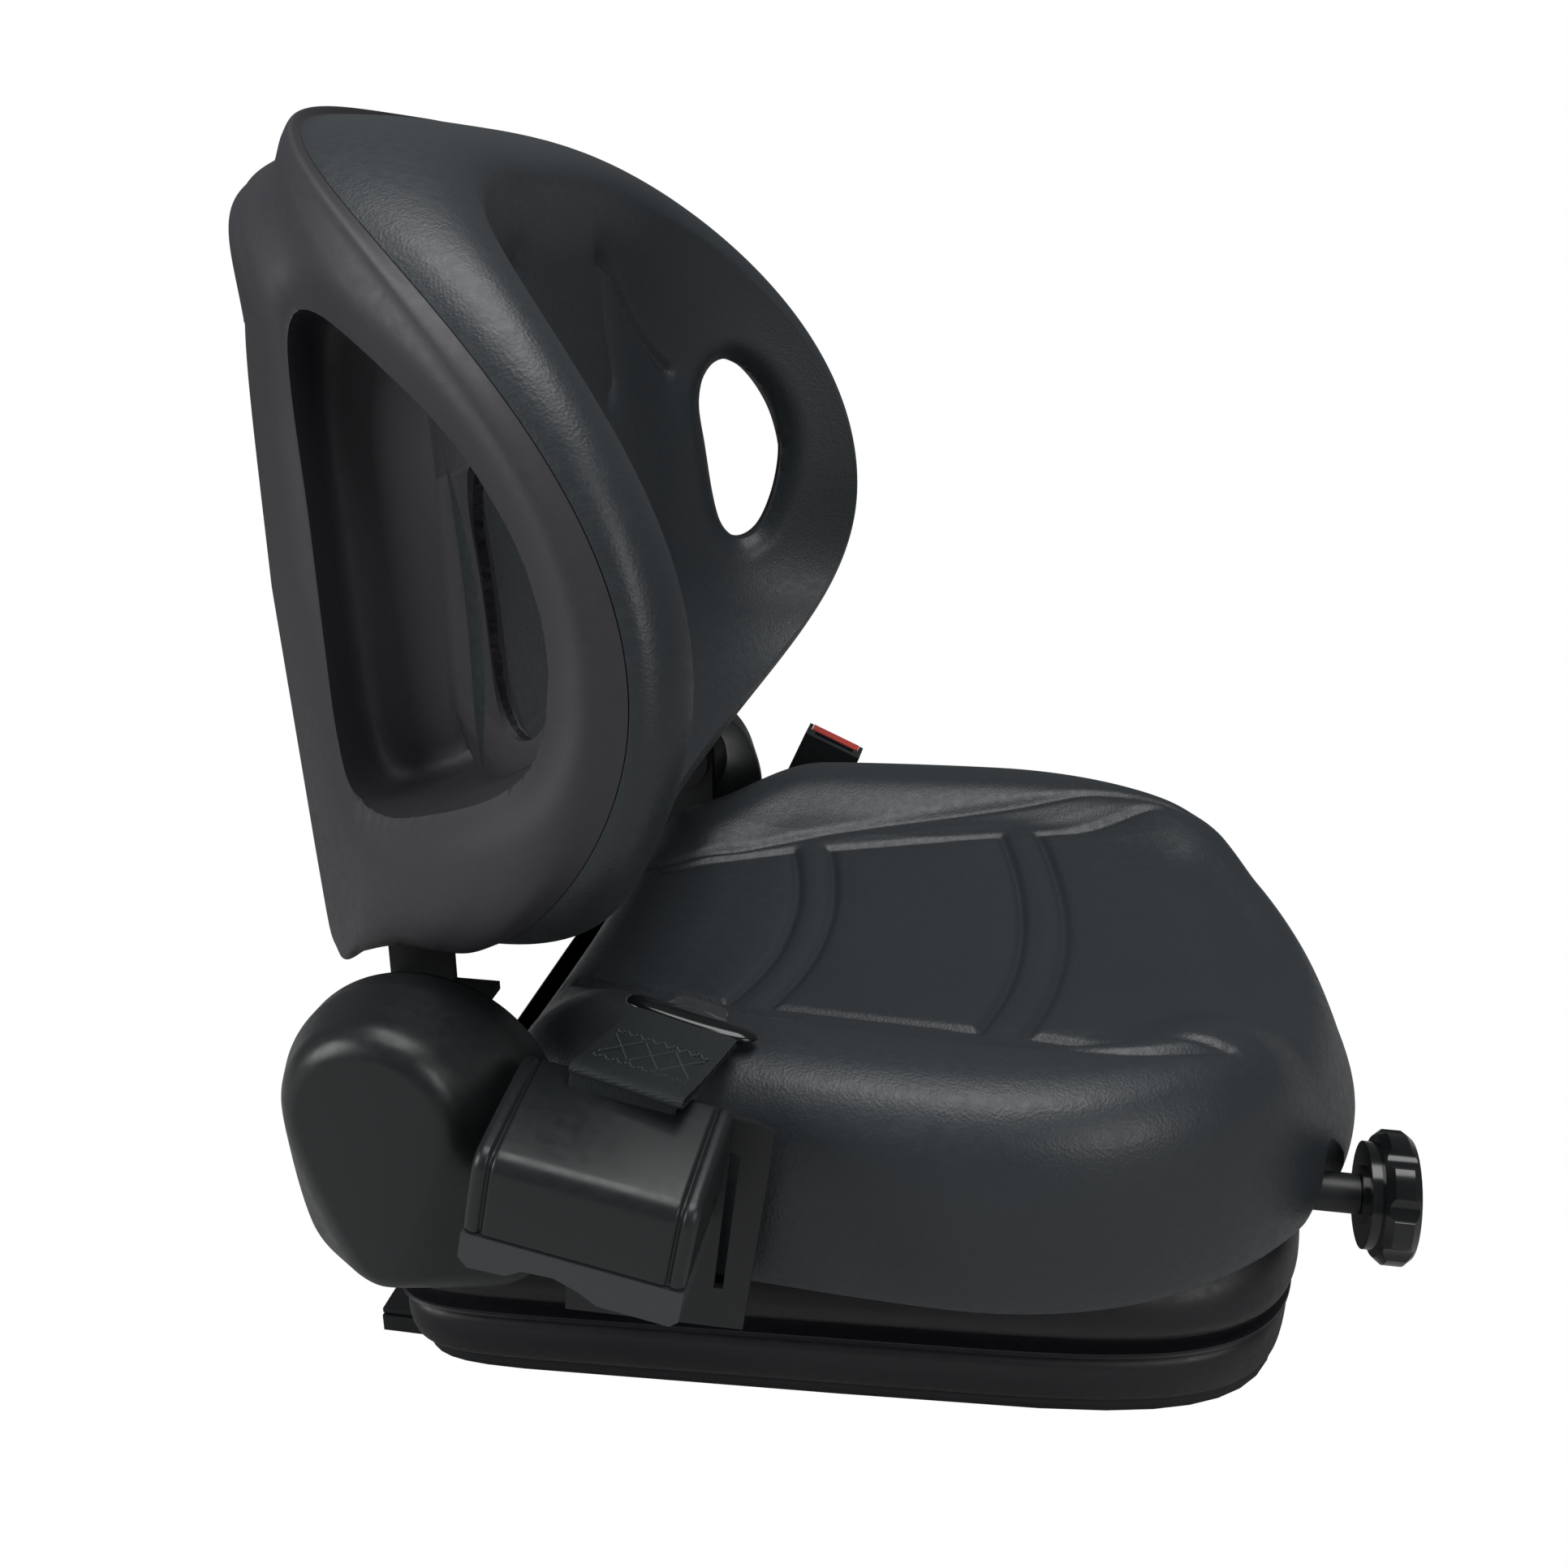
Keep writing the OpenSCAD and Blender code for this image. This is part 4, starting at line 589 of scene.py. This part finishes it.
def creases():
    """lines of the sewn panels: four bowed rows across, one along each bolster and their links"""
    lines = []
    t = np.linspace(-1, 1, 41)
    for x, w, bow in ((-66, 96, 14), (-45, 99, 13), (55, 119, 16), (76, 122, 17)):
        lines.append(np.stack([x + bow * (1 - t * t), w * t], axis=1))
    x = np.linspace(-147, 161, 50)
    for s in (1, -1):
        side = 131.5 + 0.3 * x - 0.0006 * x * x - 22.8 * np.clip((x - 96) / 65, 0, 1) ** 2
        lines.append(np.stack([x, s * side], axis=1))
        for pts in ([(161, 142), (140, 137), (112, 130), (76, 122)],
                    [(55, 119), (5, 109), (-45, 99)], [(-66, 96), (-105, 84), (-140, 68)]):
            line = open_curve(pts, 16)
            line[:, 1] *= s
            lines.append(line)
    return lines

# Cushion rings from the middle out: how far each lies in from the side and from the ends, and how
# far below the edge of the face, up to ring TOP_RING on the face and EDGE_RING at its rounded edge
INSET = [214, 190, 175, 148, 124, 104, 86, 70, 56, 40, 28, 17, 8, 3, 0, 1, 5, 14]
ALONG = [188, 172, 158, 134, 112, 94, 78, 64, 52, 40, 32, 25, 19, 14, 8, 2, 4, 14]
DROPS = [0] * 10 + [-1.5, -6, -15, -27, -45, -66, -84, -85.5]
TOP_RING, EDGE_RING, CREASED_TO = 6, 9, 11

def build_cushion():
    """cushion with its creases pressed in and an arched notch for the adjuster's knob"""
    knots = np.arange(len(INSET), dtype=float)
    at = np.concatenate([np.linspace(0, EDGE_RING, 150), np.linspace(EDGE_RING, knots[-1], 62)[1:]])
    inset, along, drop = (hermite(knots, row, at) for row in (INSET, ALONG, DROPS))
    a = np.linspace(0, 2 * math.pi, N_SEAT, endpoint=False)
    edge_top = face_height(*edge(a, INSET[EDGE_RING], ALONG[EDGE_RING]))
    creased = creases()
    rings = []
    for t, dy, dx, d in zip(at, inset, along, drop):
        x, y = edge(a, dy, dx)
        top = face_height(x, y) if t <= EDGE_RING else edge_top
        if t > TOP_RING:
            top = mix(top, edge_top, ease(TOP_RING, EDGE_RING, t))
        z = top + np.minimum(d, 0) / 86 * (edge_top - LOW)
        if t < CREASED_TO:
            z = z - groove(distance_to_lines(np.stack([x, y], axis=1), creased), CREASE_PROFILE)
        rings.append(np.stack([x, y, z], axis=1))
    middle = [45, 0, float(face_height(45.0, 0.0))]
    seat = capped("cushion_foam", rings, vinyl, middle, [FRONT, 0, LOW + 0.5])
    notch = closed_curve([(-24, -16), (-17, 6), (-6, 22), (2, 26), (9, 21), (16, 6), (19, -16), (0, -20)], 60)
    rings = [np.stack([np.full(60, x), -112 + notch[:, 0] * w, 103 + notch[:, 1] * w], axis=1)
             for x, w in ((176, 0.75), (196, 0.85), (214, 1.0), (226, 1.2), (250, 1.6))]
    carve(seat, capped("cutter", rings, None), sharp=SHARP_SOFT)
    return seat

cushion = build_cushion()
belongs(cushion, "upper_frame", "seat_cushion")

# %% [markdown]
# Bellows. An oblong outline, squarer at the rear, with two folds and a double lip between them.

# %% Bellows
BELLOWS_LOW, BELLOWS_HIGH = 3.3, 91.7
# Share of the height and swell in mm: lower fold, double lip, upper fold
SHARE = [0, 0.02, 0.035, 0.06, 0.12, 0.2, 0.3, 0.38, 0.42, 0.438, 0.452, 0.463, 0.474, 0.485, 0.5, 0.52,
         0.56, 0.65, 0.76, 0.86, 0.93, 0.97, 1]
SWELL = [1, 2.4, 2, 2.5, 8.5, 12, 13.6, 12, 7.5, 6.5, 11, 18, 16.4, 18, 11, 9,
         15, 22, 20.5, 15.5, 8.5, 2, -4]

def bellows_ring(grow, share, n=280):
    """outline at a share of the height, with its sides swollen by grow"""
    a = np.linspace(0, 2 * math.pi, n, endpoint=False)
    c, s = np.cos(a), np.sin(a)
    front = c >= 0
    p = np.where(front, 4.8, 12.0)
    reach = 206 + np.where(front, 3 + 0.15 * grow, 4 + 0.3 * grow)
    x = reach * power(c, 2 / p)
    y = (162 - 0.065 * x + grow) * power(s, 2 / p)
    return np.stack([x, y, np.full(n, mix(BELLOWS_LOW, BELLOWS_HIGH, share))], axis=1)

def build_bellows():
    """outer skin up through the folds and a plainer inner skin down again"""
    at = np.linspace(0, 1, 120)
    outer = [bellows_ring(g, s) for s, g in zip(at, hermite(SHARE, SWELL, at))]
    inner = [bellows_ring(min(g, 11) - 2.5, s) for s, g in list(zip(SHARE, SWELL))[::-3]]
    return loop_body("rubber_bellows", np.array(outer + inner), rubber, sharp=SHARP_SOFT)

# The skin is baked in place and is not attached to the carriage or to the upper frame
bellows = build_bellows()
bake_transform(bellows)
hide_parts("suspension_bellows")

# %% [markdown]
# Recliner covers and the retractor's housing. A convex outline is kept as its support function: for
# each direction u, the furthest reach of its discs, max(centre . u + radius). The outline's points
# are h u + h' v, with v square to u. A dome takes, at each depth, the concave envelope of its discs.

# %% Domes from discs
def outline_from(h, angle):
    """points h u + h' v of the convex outline whose support function is h"""
    step = angle[1] - angle[0]
    slope = (np.roll(h, -1) - np.roll(h, 1)) / (2 * step)
    return np.stack([h * np.cos(angle) - slope * np.sin(angle),
                     h * np.sin(angle) + slope * np.cos(angle)], axis=1)

def soften(h, width):
    """mean of h over neighbouring directions, with a cosine weight"""
    w = np.cos(np.linspace(-math.pi / 2, math.pi / 2, 2 * width + 1))
    return sum(k * np.roll(h, j) for k, j in zip(w / w.sum(), range(-width, width + 1)))

def dome_reach(discs, depth, y, angle):
    """support at the height y of the hull of discs that stand from 0 to their own share of depth"""
    h = [x * np.cos(angle) + z * np.sin(angle) + r for x, z, r, _ in discs]
    tall = [share * depth for *_, share in discs]
    best = np.max([a for a, t in zip(h, tall) if t >= y - 1e-6], axis=0)
    for a, t in zip(h, tall):
        for b, u in zip(h, tall):
            if t < y < u:
                best = np.maximum(best, a + (b - a) * (y - t) / (u - t))
    return best

# The covers' middle and inner face
COVER_X, COVER_Y = -162.0, 212.0

def recliner_cover(name, discs, depth, side):
    """dome of discs (x, z, radius, share of the depth), with a 5 mm rounded outer edge"""
    angle = np.linspace(0, 2 * math.pi, 220, endpoint=False)
    levels = np.linspace(0, depth, 30)
    reach = np.array([soften(dome_reach(discs, depth, y, angle), 6) for y in levels])
    for _ in range(3):
        reach[1:-1] = (reach[:-2] + 2 * reach[1:-1] + reach[2:]) / 4
    rings = []
    for y in depth * (1 - (1 - np.linspace(0, 1, 46)) ** 1.6):
        h = np.array([np.interp(y, levels, reach[:, k]) for k in range(len(angle))])
        edge_in = 5 * (1 - math.sqrt(max(0, 1 - max(0, (y - depth + 5) / 5) ** 2)))
        o = outline_from(h - edge_in, angle)
        rings.append(np.stack([COVER_X + o[:, 0], np.full(len(o), side * (COVER_Y + y)), o[:, 1]], axis=1))
    return capped(name, rings, satin_plastic)

RIGHT_DISCS = [(-8, 173, 59, 0.22), (-21, 128, 45, 0.16), (14, 118, 32, 0.16), (-24, 131, 30, 0.55),
               (-13, 187, 40, 0.82), (-14, 123, 18, 0.82), (-13, 187, 34, 1), (-14, 123, 11, 1)]
LEFT_DISCS = [(-10, 160, 64, 0.16), (-25, 127, 50, 0.16), (12, 120, 34, 0.16), (-2, 172, 46, 0.8),
              (-14, 132, 24, 0.8), (-2, 172, 40, 1), (-14, 132, 18, 1)]
RIGHT_DEPTH, LEFT_DEPTH = 46, 36.8
right = recliner_cover("recliner_cover_moulding_right", RIGHT_DISCS, RIGHT_DEPTH, -1)
belongs(right, "upper_frame", "recliner_cover_right")
left = recliner_cover("recliner_cover_moulding_left", LEFT_DISCS, LEFT_DEPTH, 1)
belongs(left, "upper_frame", "recliner_cover_left")

# %% Retractor housing
RETRACTOR_AT, RETRACTOR_TILT = (-76.5, -290, 195), math.radians(11)
# The housing's side view as discs (middle, radius)
HOUSING_DISCS = (((9, -9), 9), ((52, 6), 4), ((2, -34), 2), ((54, -34), 2))
# Rings from the right end inwards: place, and how far the outline is drawn in for edge and joint line
HOUSING_X = [-43, -42.9, -42.4, -41.4, -40, -38, -37.4, -36.9, -36.4, -36.0, -35.5, -35.0, -34.4, -33.5]
HOUSING_IN = [3.4, 2.4, 1.3, 0.4, 0, 0, 0.2, 1.2, 1.5, 1.5, 1.2, 0.2, 0, 0]

def at_retractor(p):
    """from the retractor's own frame, tilted 11 degrees about Y, to the seat's"""
    c, s = math.cos(RETRACTOR_TILT), math.sin(RETRACTOR_TILT)
    x, y, z = np.moveaxis(np.asarray(p, float), -1, 0)
    return np.stack([x * c + z * s, y, z * c - x * s], axis=-1) + RETRACTOR_AT

def build_housing():
    """prism over the side view, with rounded ends and a joint line near each"""
    angle = np.linspace(0, 2 * math.pi, 200, endpoint=False)
    u = np.stack([np.cos(angle), np.sin(angle)], axis=1)
    h = soften(np.max([u @ c + r for c, r in HOUSING_DISCS], axis=0), 3)
    x = np.array(HOUSING_X + np.linspace(-30, 30, 9).tolist() + [-v for v in HOUSING_X[::-1]])
    inset = HOUSING_IN + [0] * 9 + HOUSING_IN[::-1]
    rings = []
    for k, i in zip(x, inset):
        o = outline_from(h - i, angle)
        rings.append(at_retractor(np.stack([np.full(len(o), k), o[:, 0], o[:, 1]], axis=1)))
    return capped("retractor_housing", rings, satin_plastic, sharp=60)

belongs(build_housing(), "upper_frame", "retractor_cover")

# %% [markdown]
# Belt: the webbing comes out of the roof, folds at a hem and lies back to the tongue. It is a
# closed ribbon swept along its middle line, with zigzag and crossed rows of thread over the fold.

# %% Webbing, stitches and tongue
STRAP_AT, STRAP_TURN = (-72, -247, 209.4), (-7, 9.5, -8)
STRAP_WIDE, RISER_WIDE, STRAP_THICK = 47, 43, 1.5
# Middle line of the fold, from the roof round the hem and back over itself, in the strap's frame
STRAP_LOW, STRAP_TOP = -0.7, 2.7
FOLD = [(62, STRAP_LOW), (45, STRAP_LOW), (25, STRAP_LOW), (8, STRAP_LOW), (2, STRAP_LOW + 0.1),
        (-2.6, 0.1), (-3.3, 1.6), (-2.2, 3.0), (1, STRAP_TOP + 0.6), (6, STRAP_TOP + 0.2),
        (14, STRAP_TOP - 0.4), (30, STRAP_TOP - 0.7), (48, STRAP_TOP - 0.8), (61.5, STRAP_TOP - 0.9)]

def at_strap(p):
    """from the strap's own frame to the seat's: turned -7, 9.5 and -8 degrees about X, Y and Z"""
    a, b, c = (math.radians(v) for v in STRAP_TURN)
    rx = np.array([[1, 0, 0], [0, math.cos(a), -math.sin(a)], [0, math.sin(a), math.cos(a)]])
    ry = np.array([[math.cos(b), 0, math.sin(b)], [0, 1, 0], [-math.sin(b), 0, math.cos(b)]])
    rz = np.array([[math.cos(c), -math.sin(c), 0], [math.sin(c), math.cos(c), 0], [0, 0, 1]])
    return np.asarray(p, float) @ (rz @ ry @ rx).T + STRAP_AT

def normals(path):
    """unit normal at each point of a plane path"""
    way = np.gradient(path, axis=0)
    way /= np.linalg.norm(way, axis=1, keepdims=True)
    return np.stack([-way[:, 1], way[:, 0]], axis=1)

def ribbon(name, path, width, place):
    """closed strap of even thickness, slightly waved, along a path in the plane square to its width"""
    path = np.asarray(path, float)
    run = np.concatenate([[0], np.cumsum(np.linalg.norm(np.diff(path, axis=0), axis=1))])
    t = np.linspace(-1, 1, 25)
    across = np.concatenate([t, t[::-1]]) * width / 2
    rounded = 1 - 0.75 * np.abs(t) ** 14
    face = np.concatenate([rounded, -rounded]) * STRAP_THICK / 2
    rings = []
    for q, n, d in zip(path, normals(path), run):
        off = face + 0.25 * np.sin(across / 9 + d / 13)
        rings.append(place(np.stack([across, q[0] + n[0] * off, q[1] + n[1] * off], axis=1)))
    return capped(name, rings, webbing, sharp=SHARP_SOFT)

def stitch(path, place, lift):
    """one row of thread as a chain of short capsules, two points raised and two points sunk"""
    rings = []
    path = np.asarray(path, float)
    a = np.linspace(0, 2 * math.pi, 8, endpoint=False)
    for k, (q, m) in enumerate(zip(path, normals(path))):
        r, rise = (0.42, 0.3) if k % 4 in (1, 2) else (0.2, -0.15)
        rings.append(place(np.stack([q[0] + m[0] * r * np.cos(a), q[1] + m[1] * r * np.cos(a),
                                     lift + rise + r * np.sin(a)], axis=1)))
    return capped("thread", rings, thread)

def build_webbing():
    """folded strap, the riser inside the roof's slot, two zigzag rows and three crosses of thread"""
    strap = ribbon("belt_webbing_fold", open_curve(FOLD, 120), STRAP_WIDE, at_strap)
    riser = ribbon("belt_webbing_riser", [(43, z) for z in np.linspace(-8, 17, 20)], RISER_WIDE, at_retractor)
    x = np.linspace(-20, 20, 121)
    saw = np.abs((x / 2.6) % 2 - 1) * 3.2
    rows = [np.stack([x, y0 + saw], axis=1) for y0 in (9, 34)]
    t = np.linspace(0, 1, 90)
    for x0 in (-19, -6, 7):
        rows.append(np.stack([x0 + 12 * t, 14 + 18 * t], axis=1))
        rows.append(np.stack([x0 + 12 * (1 - t), 14 + 18 * t], axis=1))
    threads = [stitch(row, at_strap, STRAP_TOP + 0.25) for row in rows]
    return join("belt_webbing_sewn", [strap, riser] + threads)

def sweep_uv(piece):
    """gives the joined piece the webbing's pattern coordinates: its own X and Y in metres"""
    v = np.empty(3 * len(piece.data.vertices))
    piece.data.vertices.foreach_get("co", v)
    local = v.reshape(-1, 3) * 1000 - (SEAT_X, 0, SEAT_Z)
    layer = piece.data.uv_layers.new(name="UVMap")
    loops = np.empty(len(piece.data.loops), int)
    piece.data.loops.foreach_get("vertex_index", loops)
    layer.data.foreach_set("uv", (local[loops][:, :2] / 1000).ravel())

sewn = build_webbing()
sweep_uv(sewn)
belongs(sewn, "upper_frame", "belt_webbing")

def build_tongue():
    """bar in the loop with rounded shoulders, moulded in black plastic over the steel blade"""
    a = np.linspace(0, 2 * math.pi, 40, endpoint=False)
    rings = []
    for t in np.linspace(-1, 1, 41):
        end = math.sqrt(max(0.0, 1 - abs(t) ** 6))
        ry, rz = 6.5 * end + 0.05, 3.2 * end + 0.05
        rings.append(at_strap(np.stack([np.full(40, 30 * t), 67.5 + 2 * t * t + ry * np.cos(a),
                                        1.2 + rz * np.sin(a)], axis=1)))
    bar = capped("bar", rings, gloss_plastic)
    o = closed_curve([(-12, 72), (12, 72), (12.5, 80), (11, 85), (5, 87), (-5, 87), (-11, 85), (-12.5, 80)], 80)
    rings = [at_strap(np.stack([o[:, 0] * k, 79 + (o[:, 1] - 79) * k, np.full(80, z)], axis=1))
             for z, k in ((0.4, 0.96), (0.8, 1), (2.2, 1), (2.6, 0.96))]
    blade = capped("blade", rings, chrome, sharp=40)
    return join("belt_tongue_moulding", [bar, blade])

belongs(build_tongue(), "upper_frame", "belt_tongue")

# %% [markdown]
# Floor, backdrop and light: a plain pale sweep that the camera sees as white, one large soft box
# overhead and softer boxes to the front and the right.

# %% Stage, light and camera
# Lamps: name, place, what it looks at, size in m and watts
LAMPS = (("overhead", (0.25, -0.25, 2.2), (0.1, 0, 0.3), 1.5, 30),
         ("front_right", (1.7, -1.5, 1.1), (0.1, 0, 0.3), 1.0, 11),
         ("rear_right", (-1.6, -1.2, 1.0), (0, 0, 0.3), 1.0, 19))
CAMERA_LOOK, LENS_MM, SENSOR_MM = (-0.1625, 0.924, -0.345), 35.4, 36.0

def seen_white(tree, lit, seen, out):
    """one shader for the light and another for the camera"""
    path = add(tree, "ShaderNodeLightPath")
    both = add(tree, "ShaderNodeMixShader", links={0: (path, "Is Camera Ray"), 1: (lit, 0), 2: (seen, 0)})
    tree.node_tree.links.new(both.outputs[0], out.inputs[0])

def stage():
    """floor, backdrop, lamps and camera"""
    floor = bpy.data.meshes.new("floor")
    floor.from_pydata([(-6, -6, 0), (6, -6, 0), (6, 6, 0), (-6, 6, 0)], [], [(0, 1, 2, 3)])
    piece = bpy.data.objects.new("floor", floor)
    bpy.context.scene.collection.objects.link(piece)
    pale = bpy.data.materials.new("pale_floor")
    pale.use_nodes = True
    pale.node_tree.nodes.clear()
    matt = add(pale, "ShaderNodeBsdfDiffuse", values={"Color": (0.45, 0.45, 0.45, 1)})
    glow = add(pale, "ShaderNodeEmission", values={"Color": (1, 1, 1, 1), "Strength": 1.0})
    seen_white(pale, matt, glow, add(pale, "ShaderNodeOutputMaterial"))
    floor.materials.append(pale)

    world = bpy.data.worlds.new("studio")
    bpy.context.scene.world = world
    world.use_nodes = True
    world.node_tree.nodes.clear()
    soft = add(world, "ShaderNodeBackground", values={"Color": (0.95, 0.97, 1, 1), "Strength": 0.12})
    white = add(world, "ShaderNodeBackground", values={"Color": (1, 1, 1, 1), "Strength": 1.0})
    seen_white(world, soft, white, add(world, "ShaderNodeOutputWorld"))

    for name, at, target, size, watts in LAMPS:
        lamp = bpy.data.lights.new(name, "AREA")
        lamp.size, lamp.energy = size, watts
        holder = bpy.data.objects.new(name, lamp)
        holder.location = at
        holder.rotation_euler = (Vector(target) - Vector(at)).to_track_quat("-Z", "Y").to_euler()
        bpy.context.scene.collection.objects.link(holder)

    lens = bpy.data.cameras.new("camera")
    lens.lens, lens.sensor_width, lens.clip_end = LENS_MM, SENSOR_MM, 50
    camera = bpy.data.objects.new("camera", lens)
    camera.location = ((75 + SEAT_X) / 1000, -0.740, (520 + SEAT_Z) / 1000)
    camera.rotation_euler = Vector(CAMERA_LOOK).to_track_quat("-Z", "Y").to_euler()
    bpy.context.scene.collection.objects.link(camera)
    bpy.context.scene.camera = camera
    bpy.context.scene.view_settings.view_transform = "Standard"

stage()

# %% [markdown]
# Finishes of the frame's own nodes, by the real material of each.

# %% Finishes of the frame's nodes
FINISH_OF = {
    "zinc_steel": zinc, "painted_steel": black_paint, "chrome": chrome, "vinyl": vinyl,
    "shell_plastic": shell_plastic, "satin_plastic": satin_plastic, "grey_plastic": grey_plastic,
    "gloss_plastic": gloss_plastic, "rubber": rubber, "acetal": acetal, "webbing": webbing,
    "button_red": button_red,
}
for part in frame["record"]["subparts"]:
    node = frame["nodes"][part["node"]]
    node.data.materials.clear()
    node.data.materials.append(FINISH_OF[part["material_slot"]])
